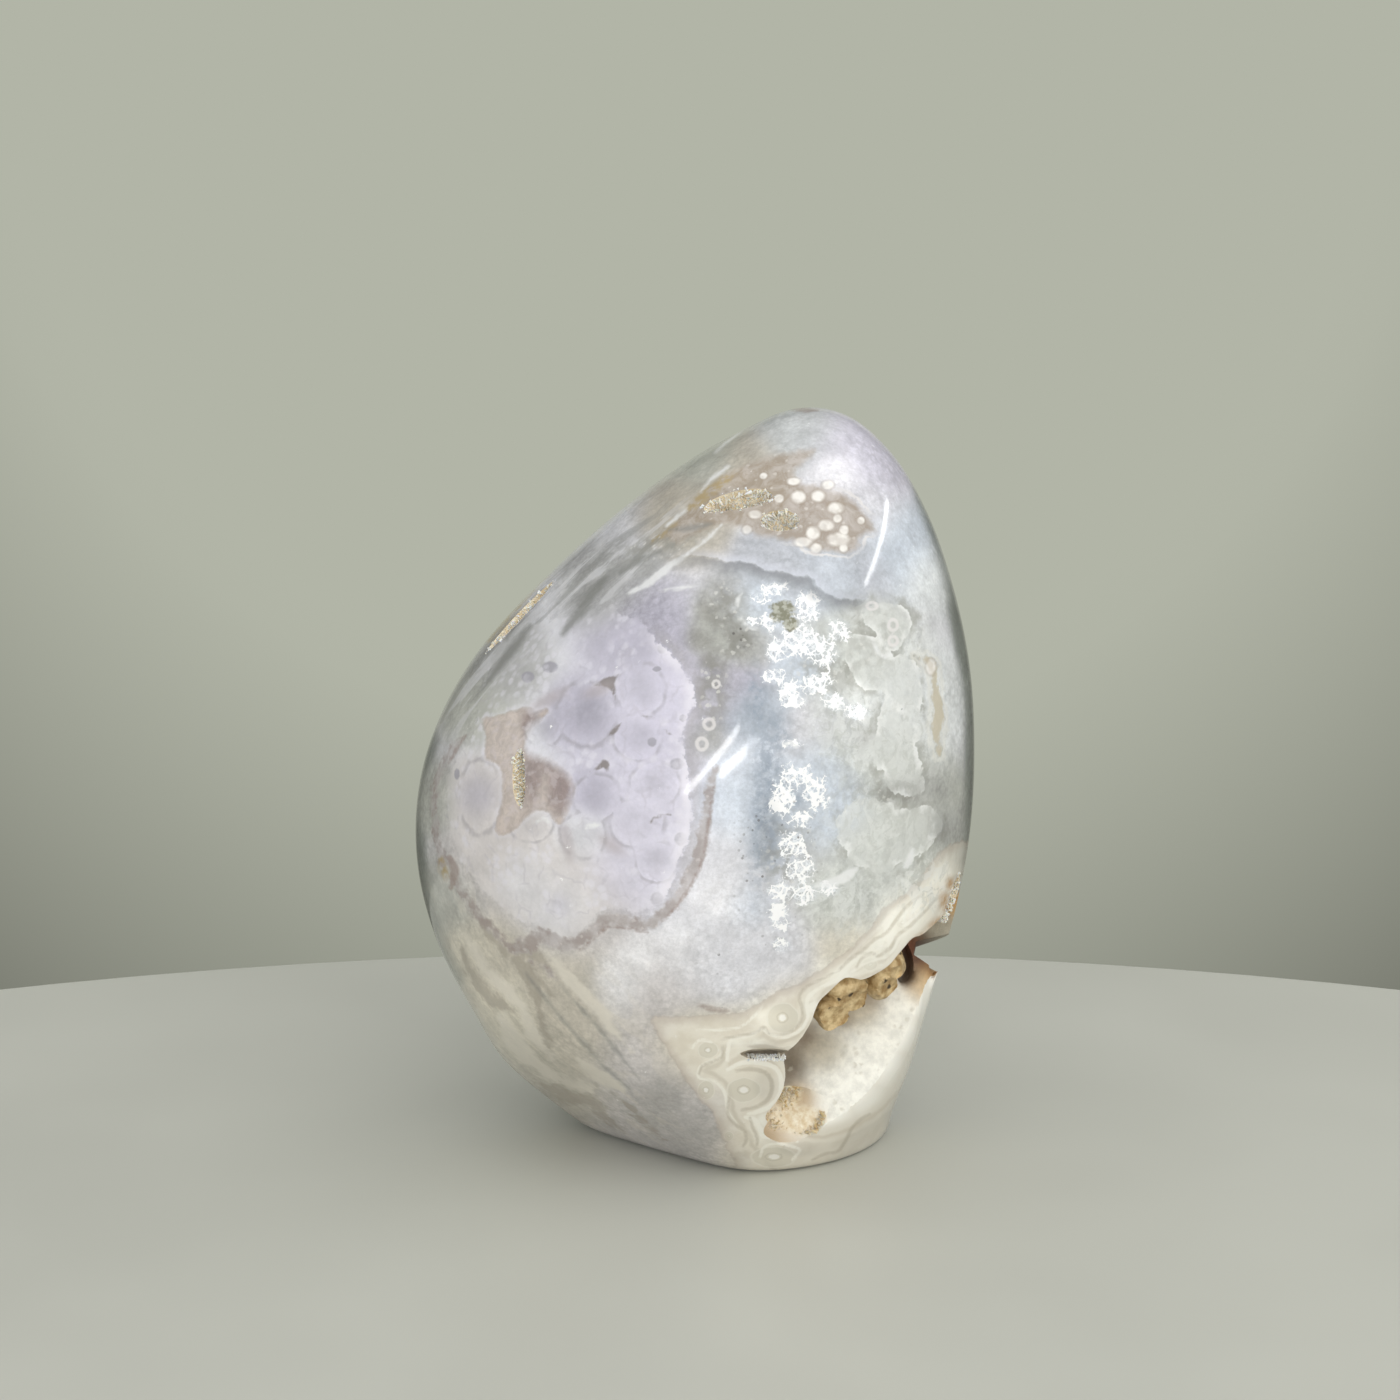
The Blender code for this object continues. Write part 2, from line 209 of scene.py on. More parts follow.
# %% Build the form, with finer triangles where the camera looks
SPHERE_FINENESS = 6
FINER_FROM = (0.15, -0.28)
FINEST_FACES = -0.15
FINEST_BOXES = ((712, 470, 872, 556), (690, 985, 815, 1170), (815, 880, 955, 1010))
FLOOR_CLOSE = 1e-6
FEWER_THAN_BASE = 9


def stone_form(finer_from=()):
    """The uncut stone as a bmesh in millimetres, with edges halved in front of each y in finer_from."""
    form = bmesh.new()
    bmesh.ops.create_icosphere(form, subdivisions=SPHERE_FINENESS, radius=1.0)
    for frontier in finer_from:
        edges = [e for e in form.edges if all(v.co.y < frontier for v in e.verts)]
        bmesh.ops.subdivide_edges(form, edges=edges, cuts=1, use_grid_fill=True)
        bmesh.ops.triangulate(form, faces=[f for f in form.faces if len(f.verts) > 3])
    directions = np.array([v.co.normalized() for v in form.verts])
    for vertex, point in zip(form.verts, stone_points(directions)):
        vertex.co = point
    form.normal_update()
    return form


uncut = stone_form()
uncut_tree = BVHTree.FromBMesh(uncut)
uncut.free()
form = stone_form(FINER_FROM)
base = [f for f in form.faces if all(v.co.z < FLOOR_CLOSE for v in f.verts)]
bmesh.ops.dissolve_faces(form, faces=base, use_verts=True)
near = {v for v in form.verts if v.normal.y < FINEST_FACES}
seen = dict(zip(near, picture_places(np.array([v.co for v in near]))))
for left, top, right, bottom in FINEST_BOXES:
    fine = {v for v, (x, y) in seen.items() if left < x < right and top < y < bottom}
    edges = [e for e in form.edges if fine.issuperset(e.verts)]
    bmesh.ops.subdivide_edges(form, edges=edges, cuts=1, use_grid_fill=True)
bmesh.ops.triangulate(form, faces=[f for f in form.faces if 3 < len(f.verts) < FEWER_THAN_BASE])
print("stone form:", len(form.faces), "faces")

# %% [markdown]
# ## The crevice and the pockets
#
# Agate grows inwards in a gas bubble or a crack, and what it doesn't fill stays hollow. Low on
# the right a crevice runs into the stone, with a smooth white wall at its back, lumps of ochre
# chalcedony hanging from its upper jaw, and a round vug full of crystals at its foot. It runs
# out at the side through a notch. A few small pockets open higher up.
#
# These could be pressed in by moving vertices, but undercut walls need real cuts. So the
# hollows are solids of their own: a tunnel with the outline of the mouth, widening inwards, and
# uneven ellipsoids. They are joined into one cutter, the lumps are taken out of it, and one
# exact Boolean cuts it from the stone. The cutter's faces bring their own material, which tells
# rough wall from polished skin.

# %% Sizes of the hollows, in millimetres
JAW_EDGE = (
    (11.7, 21.6), (12.6, 22.1), (13.6, 22.9), (14.3, 23.9), (15.5, 26.1), (15.9, 27.7), (16.4, 29.0),
    (17.2, 29.7), (18.1, 30.5), (18.9, 31.2), (19.5, 31.8), (20.5, 31.8), (22.1, 30.9), (23.2, 31.1),
    (24.6, 31.5), (26.0, 32.1), (26.9, 33.2), (28.0, 34.2), (29.0, 35.2), (30.2, 35.0),
)
OPEN_SIDE = ((43.0, 38.0), (46.0, 20.0), (44.0, 2.0), (27.0, 5.5))
LOWER_RIM = (
    (18.8, 8.0), (17.8, 7.3), (16.4, 6.8), (14.8, 7.4), (13.0, 8.1), (11.3, 8.7), (10.2, 9.8),
    (9.4, 11.2), (10.4, 12.7), (11.3, 14.0), (12.0, 16.0), (12.2, 18.1), (12.0, 20.0),
)
SIGHT = Vector((0.053, 0.938, -0.344))
IN_FRONT = -80.0
MOUTH_FRONT = -20.0
MOUTH_LEAD = 15.0
CREVICE_DEPTH = 26.0
CREVICE_PIVOT = (28.0, 6.0)
CREVICE_WIDENS = 1.42
SLOPE_POINT = Vector((18.8, -15.9, 8.3))
SLOPE_FACES = Vector((0.08, -0.915, 0.395))
NOTCH_MOUTH = ((29.8, 34.6), (29.4, 32.6), (33.4, 29.8), (38.0, 31.0), (37.0, 36.5))
NOTCH_FRONT = -16.0
NOTCH_LEAD = 10.0
NOTCH_DEPTH = 50.0
NOTCH_NARROWS = 0.75
SIDE_SLIT = ((9.6, -26.2, 21.9), (1.0, 0.2, -0.08), 3.6, 0.75, 5.0)
DEEP_HOLE = ((28.9, -6.0, 27.4), (0.0, 0.1, 1.0), 3.2, 1.3, 6.0)
LUMPS = (
    (17.9, 27.5, 3.4, (2.6, 3.2, 2.4)),
    (20.2, 29.6, 3.6, (2.7, 3.4, 2.4)),
    (19.6, 31.6, 5.0, (3.2, 3.6, 2.6)),
    (24.8, 30.4, 4.0, (2.2, 3.2, 2.2)),
    (25.2, 32.8, 5.6, (3.0, 3.6, 2.6)),
)
POCKETS = {
    "vug_crystals": ((13.7, -17.6, 10.2), (1.0, 0.1, 0.15), 5.0, 4.0, 4.2),
    "crown_pocket_crystals": ((5.6, -13.1, 93.3), (0.96, -0.20, 0.18), 4.9, 1.7, 2.6),
    "crown_seam_crystals": ((11.2, -16.5, 91.1), (1.0, 0.05, -0.05), 2.6, 1.6, 2.4),
    "flower_slit_crystals": ((-22.7, -23.0, 58.6), (0.05, -0.42, -0.90), 3.9, 1.1, 2.2),
    "shoulder_crystals": ((-23.6, -1.9, 75.6), (0.69, 0.12, 0.72), 6.6, 1.5, 2.0),
    "side_pocket_crystals": ((34.6, -9.0, 38.2), (0.10, 0.35, 0.93), 3.4, 2.2, 2.6),
}
VUG = "vug_crystals"
SUNK = 0.25
FIRST_POCKET = 5
HOLLOW_UNEVEN = (0.10, 1.6)
LUMP_UNEVEN = (0.18, 1.3)
print(len(POCKETS), "pockets and", len(LUMPS), "lumps")

# %% Places and uneven shapes


def front_point(x, height, beside=MOUTH_FRONT):
    """The stone's front surface at this x and height, or a point at y = beside where there is none."""
    place, _, _, _ = uncut_tree.ray_cast(Vector((x, IN_FRONT, height)), Vector((0.0, 1.0, 0.0)))
    return place if place else Vector((x, beside, height))


def make_uneven(form, uneven, number):
    """Moves each point in or out a little from the middle, so that it isn't a clean ellipsoid."""
    amount, bumps = uneven
    offset = Vector((17.3 * number, 4.1 * number, 9.7))
    for vertex in form.verts:
        vertex.co *= 1 + amount * noise(vertex.co * bumps + offset)


def pocket_matrix(middle, along, out, half_length, half_width, half_depth):
    """Turns and sizes a unit sphere: its length along the stone, its depth inwards."""
    out = Vector(out).normalized()
    along = Vector(along)
    along = (along - out * along.dot(out)).normalized()
    turn = Matrix((along, out.cross(along), out)).transposed().to_4x4()
    return Matrix.Translation(middle) @ turn @ Matrix.Diagonal((half_length, half_width, half_depth, 1.0))


def pocket_place(name):
    """A pocket's middle, its long way, the way out of it, and its half sizes."""
    place, along, half_length, half_width, depth = POCKETS[name]
    near, faces, _, _ = uncut_tree.find_nearest(Vector(place))
    middle = Vector(place) if name == VUG else near - faces * SUNK * depth
    return middle, along, faces, half_length, half_width, depth


print("the vug's middle is at", [round(value, 1) for value in pocket_place(VUG)[0]])

# %% Forms of the hollows


def hollow_form(fineness, number, *placed):
    form = bmesh.new()
    bmesh.ops.create_icosphere(form, subdivisions=fineness, radius=1.0)
    make_uneven(form, HOLLOW_UNEVEN, number)
    form.transform(pocket_matrix(*placed))
    return form


def made_of(result, kind):
    return [g for g in result["geom"] if isinstance(g, kind)]


def tunnel(rim, lead, depth, pivot, widens):
    """A cutter that passes through the mouth's rim along SIGHT, and widens or narrows inwards."""
    form = bmesh.new()
    front = [form.verts.new(p - SIGHT * lead) for p in rim]
    ring = [form.edges.new((front[i - 1], front[i])) for i in range(len(front))]
    mouth = bmesh.ops.extrude_edge_only(form, edges=ring)
    bmesh.ops.translate(form, verts=made_of(mouth, bmesh.types.BMVert), vec=SIGHT * lead)
    ring = [e for e in made_of(mouth, bmesh.types.BMEdge) if len(e.link_faces) == 1]
    end = bmesh.ops.extrude_edge_only(form, edges=ring)
    for vertex in made_of(end, bmesh.types.BMVert):
        vertex.co.x = pivot[0] + (vertex.co.x - pivot[0]) * widens
        vertex.co.z = pivot[1] + (vertex.co.z - pivot[1]) * widens
        vertex.co += SIGHT * depth
    bmesh.ops.holes_fill(form, edges=[e for e in form.edges if len(e.link_faces) == 1])
    bmesh.ops.triangulate(form, faces=form.faces[:])
    bmesh.ops.recalc_face_normals(form, faces=form.faces[:])
    return form


print("helpers for hollows ready")

# %% Crevice, notch and lumps


def crevice_form():
    rim = [front_point(x, height) for x, height in JAW_EDGE]
    rim += [Vector((x, MOUTH_FRONT, height)) for x, height in OPEN_SIDE]
    rim += [front_point(x, height) for x, height in LOWER_RIM]
    form = tunnel(rim, MOUTH_LEAD, CREVICE_DEPTH, CREVICE_PIVOT, CREVICE_WIDENS)
    everything = form.verts[:] + form.edges[:] + form.faces[:]
    cut = bmesh.ops.bisect_plane(form, geom=everything, plane_co=SLOPE_POINT, plane_no=SLOPE_FACES,
                                 clear_inner=True)
    opened = [e for e in cut["geom_cut"] if isinstance(e, bmesh.types.BMEdge)]
    bmesh.ops.triangle_fill(form, edges=opened, use_beauty=True)
    return form


def notch_form():
    rim = [Vector((x, NOTCH_FRONT, height)) for x, height in NOTCH_MOUTH]
    middle = (sum(p.x for p in rim) / len(rim), sum(p.z for p in rim) / len(rim))
    return tunnel(rim, NOTCH_LEAD, NOTCH_DEPTH, middle, NOTCH_NARROWS)


def lump_form(x, height, inwards, half_sizes, number):
    form = bmesh.new()
    bmesh.ops.create_icosphere(form, subdivisions=LUMP_FINENESS, radius=1.0)
    make_uneven(form, LUMP_UNEVEN, number)
    place = front_point(x, height) + SIGHT * inwards
    form.transform(Matrix.Translation(place) @ Matrix.Diagonal((*half_sizes, 1.0)))
    return form


print("the mouth's rim has", len(JAW_EDGE) + len(OPEN_SIDE) + len(LOWER_RIM), "points")

# %% Objects, joins and cuts


def put_object(name, form, finish):
    """Turns a bmesh in millimetres into an object in metres, with its faces outwards."""
    if form.calc_volume(signed=True) < 0:
        bmesh.ops.reverse_faces(form, faces=form.faces)
    form.transform(Matrix.Scale(MM, 4))
    mesh = bpy.data.meshes.new(name)
    form.to_mesh(mesh)
    form.free()
    mesh.materials.append(finishes[finish])
    made = bpy.data.objects.new(name, mesh)
    bpy.context.scene.collection.objects.link(made)
    return made


def settle(thing):
    """Makes what the modifiers show the object's own mesh."""
    mesh = bpy.data.meshes.new_from_object(thing.evaluated_get(bpy.context.evaluated_depsgraph_get()))
    thing.modifiers.clear()
    thing.data = mesh


def combine(thing, others, operation):
    """Joins others to a thing, or cuts them from it, and removes them."""
    for other in others:
        step = thing.modifiers.new(other.name, "BOOLEAN")
        step.operation = operation
        step.solver = "EXACT"
        step.material_mode = "TRANSFER"
        step.object = other
    settle(thing)
    for other in others:
        bpy.data.objects.remove(other)


def even_grain(thing, grain):
    """Remakes a thing from small faces of one size, in millimetres."""
    even = thing.modifiers.new("even grain", "REMESH")
    even.mode = "VOXEL"
    even.voxel_size = grain * MM
    settle(thing)


FINISHES = ("agate_polish", "crevice_wall", "ochre_lump", "pocket_wall", "golden_druse", "tabletop")
finishes = {name: bpy.data.materials.new(name) for name in FINISHES}
print("finishes to come:", ", ".join(finishes))

# %% Join the hollows into one cutter
WALL_GRAIN = 0.65
VUG_FINENESS = 4
LUMP_FINENESS = 4
HOLLOW_FINENESS = 3
cutter = put_object("hollows", crevice_form(), "crevice_wall")
even_grain(cutter, WALL_GRAIN)
others = [put_object("notch", notch_form(), "crevice_wall")]
for number, hole in enumerate((SIDE_SLIT, DEEP_HOLE)):
    hole_form = hollow_form(HOLLOW_FINENESS, number, *hole[:2], -SIGHT, *hole[2:])
    others.append(put_object(f"hole_{number}", hole_form, "crevice_wall"))
for number, name in enumerate(POCKETS, start=FIRST_POCKET):
    fineness = VUG_FINENESS if name == VUG else HOLLOW_FINENESS
    pocket_form = hollow_form(fineness, number, *pocket_place(name))
    others.append(put_object(f"cut_{name}", pocket_form, "pocket_wall"))
combine(cutter, others, "UNION")
lumps = [put_object(f"lump_{number}", lump_form(*lump, number), "ochre_lump")
         for number, lump in enumerate(LUMPS)]
combine(cutter, lumps, "DIFFERENCE")
print("cutter:", len(cutter.data.polygons), "faces")

# %% Cut the stone
agate = put_object("agate", form, "agate_polish")
combine(agate, [cutter], "DIFFERENCE")
print("stone:", len(agate.data.polygons), "faces,", [m.name for m in agate.data.materials])

# %% [markdown]
# ## Wear the walls, and soften one edge
#
# The wheel never reached the crevice, so its walls are uneven, while the rim of the white slope
# was rubbed round when the outside was polished. A Displace modifier would move the rim too and
# open the skin, so the walls are moved here vertex by vertex, along their normals and less and
# less towards the polish. Smoothing the vertices near one stretch of the rim rounds it.

# %% Read the cut mesh
WALLS = [agate.data.materials.find(name) for name in ("crevice_wall", "ochre_lump", "pocket_wall")]
POLISH = agate.data.materials.find("agate_polish")
OCHRE = agate.data.materials.find("ochre_lump")
LINE_REACH_PX = 60.0

form = bmesh.new()
form.from_mesh(agate.data)
bmesh.ops.triangulate(form, faces=[f for f in form.faces if len(f.verts) > 3])
form.transform(Matrix.Scale(1 / MM, 4))
form.normal_update()


def line_distance(places, line, reach=LINE_REACH_PX):
    """How far each picture place is from a line, less the line's half width there, in pixels."""
    line = np.array(line, float)
    found = np.full(len(places), reach)
    close = ((places > line[:, :2].min(0) - reach) & (places < line[:, :2].max(0) + reach)).all(axis=1)
    here = places[close]
    best = found[close]
    for start, end in zip(line[:-1], line[1:]):
        run = end[:2] - start[:2]
        share = np.clip((here - start[:2]) @ run / (run @ run), 0, 1)
        gap = np.linalg.norm(here - start[:2] - share[:, None] * run, axis=1)
        if line.shape[1] > 2:
            gap -= start[2] + (end[2] - start[2]) * share
        best = np.minimum(best, gap)
    found[close] = best
    return found


def on_slope(place):
    """How far a place is in front of the crevice's white back wall, in millimetres."""
    return (place - SLOPE_POINT).dot(SLOPE_FACES) / SLOPE_FACES.length


def smooth_out(verts, times):
    for _ in range(times):
        bmesh.ops.smooth_vert(form, verts=list(verts), factor=0.5, use_axis_x=True, use_axis_y=True,
                              use_axis_z=True)


print("cut mesh:", len(form.faces), "triangles")

# %% Sink the fronts of the lumps below the polish
LUMPS_SUNK = 1.0
LUMP_SMOOTHING = 8


def islands(faces):
    """The groups of joined faces among these, the largest first."""
    left, groups = set(faces), []
    while left:
        group, edge_of = set(), [left.pop()]
        while edge_of:
            face = edge_of.pop()
            group.add(face)
            joined = {f for e in face.edges for f in e.link_faces} & left
            left -= joined
            edge_of += joined
        groups.append(group)
    return sorted(groups, key=len, reverse=True)


lump_fronts = islands([f for f in form.faces if f.material_index == POLISH])[1:]
for lump_front in lump_fronts:
    reached = {v for f in lump_front for v in f.verts}
    for face in lump_front:
        face.material_index = OCHRE
    bmesh.ops.translate(form, verts=list(reached), vec=SIGHT * LUMPS_SUNK)
    reached |= {e.other_vert(v) for v in reached for e in v.link_edges}
    smooth_out(reached, LUMP_SMOOTHING)
form.normal_update()
print(len(lump_fronts), "lump fronts sunk below the polish")

# %% Wear the walls
WALL_BUMPS = ((4.0, 0.62), (1.3, 0.22), (0.5, 0.07))
SLOPE_CALM = 0.35
SLOPE_NEAR = 1.0
FADES_OVER = 1.4

wall_only = [v for v in form.verts if all(f.material_index in WALLS[:2] for f in v.link_faces)]
moves = []
for vertex in wall_only:
    _, _, _, depth = uncut_tree.find_nearest(vertex.co)
    rise = sum(height * noise(vertex.co / size) for size, height in WALL_BUMPS)
    calm = SLOPE_CALM if on_slope(vertex.co) < SLOPE_NEAR else 1.0
    moves.append(vertex.normal * rise * calm * min(1.0, depth / FADES_OVER))
for vertex, move in zip(wall_only, moves):
    vertex.co += move
print(len(wall_only), "wall vertices worn")

# %% Soften the rim of the slope
SLOPE_EDGE = ((822, 1124), (860, 1108), (885, 1080), (901, 1048), (914, 1023), (920, 1008))
EDGE_REACH_PX = 12
EDGE_RINGS = 9
EDGE_SMOOTHING = 90
SHARP_OVER = math.radians(38)

rim = [v for v in form.verts if len({f.material_index in WALLS for f in v.link_faces}) == 2]
rim_places = picture_places(np.array([v.co for v in rim]))
soft = {v for v, gap in zip(rim, line_distance(rim_places, SLOPE_EDGE)) if gap < EDGE_REACH_PX}
for _ in range(EDGE_RINGS):
    soft |= {e.other_vert(v) for v in soft for e in v.link_edges}
smooth_out(soft, EDGE_SMOOTHING)
form.normal_update()
for face in form.faces:
    face.smooth = True
for edge in form.edges:
    edge.smooth = edge.calc_face_angle(0) < SHARP_OVER
print(len(soft), "vertices softened")

# %% Write the mesh back
form.transform(Matrix.Scale(MM, 4))
form.to_mesh(agate.data)
form.free()
print(len(agate.data.vertices), "points,", len(agate.data.polygons), "triangles")

# %% [markdown]
# ## Crystals in the pockets
#
# The last water in a pocket leaves quartz, hundreds of small six-sided points that stand on the
# wall and crowd each other. A scatter by geometry nodes would do it, but points on a wall that is
# a known ellipsoid are as quick to work out. Each crystal is a cone of six sides, sunk a little
# in the wall, leaning at random and kept below the polished skin, which the wheel cut level.

# %% Where crystals can grow
CRYSTAL_SPACING = 0.40
AREA_POWER = 1.6
OPEN_AIR = -0.1
GROWN = ((789, 1094, 13, 26, 4), (797, 1119, 33, 16, 5))


def is_bare(place):
    """Whether a place on the vug's wall is open air or a smooth stretch that grew no crystals."""
    at = picture_places(np.array([place]))[0]
    far = [np.linalg.norm((at - (x, y)) / (wide, tall)) for x, y, wide, tall, _ in GROWN]
    return on_slope(place) > OPEN_AIR or min(far) > 1


def wall_points(name):
    """Places and inward directions spread evenly over a pocket's wall, in millimetres."""
    _, _, _, *half_sizes = placed = pocket_place(name)
    a, b, c = half_sizes
    total = (a * b) ** AREA_POWER + (a * c) ** AREA_POWER + (b * c) ** AREA_POWER
    area = 4 * math.pi * total ** (1 / AREA_POWER) / 3 ** (1 / AREA_POWER)
    count = int(area / CRYSTAL_SPACING ** 2)
    matrix = pocket_matrix(*placed)
    turn = matrix.to_3x3().inverted().transposed()
    found = []
    for k in range(count):
        height = 1 - 2 * (k + 0.5) / count
        angle = k * math.pi * (3 - math.sqrt(5))
        ring = math.sqrt(1 - height * height)
        place = Vector((ring * math.cos(angle), ring * math.sin(angle), height))
        found.append((matrix @ place, -(turn @ place).normalized()))
    return found


def skin_depth(place):
    """How deep a point lies under the stone's uncut skin, in millimetres; negative outside."""
    near, faces, _, _ = uncut_tree.find_nearest(place)
    return (near - place).dot(faces)


print("the vug has room for", len(wall_points(VUG)), "crystals")

# %% One crystal, and the frost in the side slit
CRYSTAL_SIDES = 6
CRYSTAL_WIDTH = (0.16, 0.36)
CRYSTAL_TALL = (1.5, 2.6)
CRYSTAL_LEANS = 0.45
CRYSTAL_ROOT = 0.25
CRYSTAL_STRAYS = 0.15
CRYSTAL_SQUASH = (0.7, 1.0)
CRYSTAL_TIP = 0.06
LEAST_TALL = 0.15
UNDER_POLISH = 0.12
PULLED_IN = 1.3
FROST_COUNT = 150
FROST_ALONG = (7.0, 12.0)
FROST_DEEP = (-26.6, -24.6)
FROST_HEIGHT = 21.25
FROST_WIDTH = (0.08, 0.17)
FROST_TIP = 0.02
FROST_TALL = 3.2
FROST_STRAYS = 0.1
FROST_LEANS = 0.6


def six_sided(form, shade, tint, width, tip, tall, matrix):
    """Adds a pointed crystal to a form, and keeps its tint."""
    made = bmesh.ops.create_cone(form, cap_ends=True, segments=CRYSTAL_SIDES, radius1=width, radius2=tip,
                                 depth=tall, matrix=matrix)
    for vertex in made["verts"]:
        vertex[shade] = tint


def frost_slit(form, luck, shade):
    """A row of tiny white crystals on the lower lip of the side slit."""
    for _ in range(FROST_COUNT):
        along = luck.uniform(*FROST_ALONG)
        deep = luck.uniform(*FROST_DEEP)
        place = Vector((along, deep, FROST_HEIGHT + luck.uniform(-FROST_STRAYS, FROST_STRAYS)))
        width = luck.uniform(*FROST_WIDTH)
        leans = [Matrix.Rotation(luck.uniform(-FROST_LEANS, FROST_LEANS), 4, axis) for axis in "XY"]
        six_sided(form, shade, 1.0, width, FROST_TIP, width * FROST_TALL,
                  Matrix.Translation(place) @ (leans[0] @ leans[1]))


print("crystals are", CRYSTAL_WIDTH[0] * 2, "to", CRYSTAL_WIDTH[1] * 2, "mm wide")

# %% Grow the crystals
# The vug's crystals are tinted darker, painted shade of its deep hollow; those of the higher pockets are
# paler, painted light.
VUG_SHADED_TINT = (0.0, 0.5)
POCKET_LIT_TINT = (0.5, 1.0)


def grow_crystals(name, seed):
    luck = random.Random(seed)
    form = bmesh.new()
    shade = form.verts.layers.float.new("shade")
    for place, inwards in wall_points(name):
        if skin_depth(place) < UNDER_POLISH or (name == VUG and is_bare(place)):
            continue
        width = luck.uniform(*CRYSTAL_WIDTH)
        tall = width * luck.uniform(*CRYSTAL_TALL)
        lean = Vector([luck.gauss(0, CRYSTAL_LEANS) for _ in range(3)])
        points = (inwards + lean).normalized()
        place = place + Vector([luck.uniform(-CRYSTAL_STRAYS, CRYSTAL_STRAYS) for _ in range(3)])
        room = skin_depth(place + points * tall) - UNDER_POLISH
        if room < 0:
            tall += room * PULLED_IN
        if tall < LEAST_TALL:
            continue
        turn = points.to_track_quat("Z", "Y").to_matrix().to_4x4()
        spin = Matrix.Rotation(luck.uniform(0, math.pi), 4, "Z")
        squash = Matrix.Diagonal((1.0, luck.uniform(*CRYSTAL_SQUASH), 1.0, 1.0))
        middle = Matrix.Translation(place + points * (tall - CRYSTAL_ROOT) / 2)
        tint = luck.uniform(*(VUG_SHADED_TINT if name == VUG else POCKET_LIT_TINT))
        six_sided(form, shade, tint, width, width * CRYSTAL_TIP, tall + CRYSTAL_ROOT,
                  middle @ turn @ spin @ squash)
    if name == VUG:
        frost_slit(form, luck, shade)
    bmesh.ops.recalc_face_normals(form, faces=form.faces[:])
    return form


crystals = {}
for seed, name in enumerate(POCKETS):
    druse = name.replace("crystals", "druse")
    crystals[name] = put_object(druse, grow_crystals(name, seed), "golden_druse")
    print(name, len(crystals[name].data.polygons), "faces")

# %% [markdown]
# ## Where each marking lies
#
# A stone's pattern runs through it, and its polished skin shows a section of that. An image
# would have to be cut out and wrapped, and would be blurred from close by. Instead each marking
# is laid down as a line or an outline, in the pixels of the picture, and every point of
# the skin stores how far it is from them, in millimetres. The materials turn these distances
# into edges, with noise to make them ragged. Where the camera doesn't look, the same distances
# come from solid noise, so that the pattern goes on round the back.

# %% Points of the skin
FACING_FROM = -0.24
FACING_FADES = 0.22
IN_A_HOLLOW = 0.3
HOLLOWS_SEEN_TO = 8.0


def point_vectors(what):
    """One vector for each point of the stone."""
    values = np.empty(count * 3)
    agate.data.vertices.foreach_get(what, values)
    return values.reshape(-1, 3)


count = len(agate.data.vertices)
points = point_vectors("co") / MM
places = picture_places(points)
towards = np.array(camera.location) / MM - points
towards /= np.linalg.norm(towards, axis=1)[:, None]
facing = ((point_vectors("normal") * towards).sum(axis=1) - FACING_FROM) / FACING_FADES
facing = np.clip(facing, 0, 1)
front = facing * facing * (3 - 2 * facing)
skin_gap = np.array([uncut_tree.find_nearest(Vector(point))[3] for point in points])
front = np.where(skin_gap > IN_A_HOLLOW, np.where(points[:, 1] < HOLLOWS_SEEN_TO, 1.0, 0.0), front)
print(count, "points,", int((front > 0.5).sum()), "of them in front")

# %% Distances to lines and outlines
PX_PER_MM = 7.26
CURVE_STEPS = 5
AREA_REACH_PX = 80.0


def rounded(line, closed=False):
    """A smooth curve through a few points placed by hand."""
    line = np.array(line, float)
    if closed:
        line = np.vstack([line[-1:], line, line[:2]])
    else:
        line = np.vstack([2 * line[0] - line[1], line, 2 * line[-1] - line[-2]])
    before, start, end, after = line[:-3], line[1:-2], line[2:-1], line[3:]
    square = 2 * before - 5 * start + 4 * end - after
    cube = 3 * start - before - 3 * end + after
    curve = []
    for t in np.arange(CURVE_STEPS) / CURVE_STEPS:
        curve.append(start + 0.5 * ((end - before) * t + (square * t ** 2 + cube * t ** 3)))
    curve = np.stack(curve, axis=1).reshape(-1, line.shape[1])
    return np.vstack([curve, curve[:1] if closed else line[-2:-1]])


def lines_distance(lines):
    """Millimetres to the edge of the nearest line, negative inside it."""
    return np.min([line_distance(places, rounded(line)) for line in lines], axis=0) / PX_PER_MM


def area_distance(outline):
    """Millimetres to an outline, negative inside it."""
    outline = rounded(outline, closed=True)
    within = np.zeros(count, bool)
    for (x0, y0), (x1, y1) in zip(outline[:-1], outline[1:]):
        crosses = (y0 > places[:, 1]) != (y1 > places[:, 1])
        at = x0 + (x1 - x0) * (places[:, 1] - y0) / (y1 - y0 + 1e-9)
        within ^= crosses & (places[:, 0] < at)
    return np.where(within, -1, 1) * line_distance(places, outline, AREA_REACH_PX) / PX_PER_MM


print("a pixel is", round(1 / PX_PER_MM, 3), "mm")

# %% Soft spots, rounds and trails
SPOT_FALLS = 0.7
SPOT_POWER = 1.5
ROUND_FAR = 3.0
TRAIL_CLOSENESS = 1.4


def soft_spots(spots):
    """From 0 to 1, how much a place lies in any of the ellipses (x, y, half width, half height, lean)."""
    share = np.zeros(count)
    for x, y, wide, tall, lean in spots:
        lean = math.radians(lean)
        off = places - (x, y)
        along = off[:, 0] * math.cos(lean) + off[:, 1] * math.sin(lean)
        across = off[:, 1] * math.cos(lean) - off[:, 0] * math.sin(lean)
        far = (along / wide) ** 2 + (across / tall) ** 2
        share = np.maximum(share, np.exp(-SPOT_FALLS * far ** SPOT_POWER))
    return share


def nearest_round(rounds, far=ROUND_FAR):
    """Distance to the nearest ellipse (x, y, half width, half height): 0 in its middle, 1 on its edge."""
    share = np.full(count, far)
    for x, y, wide, tall in rounds:
        share = np.minimum(share, np.linalg.norm((places - (x, y)) / (wide, tall), axis=1))
    return share


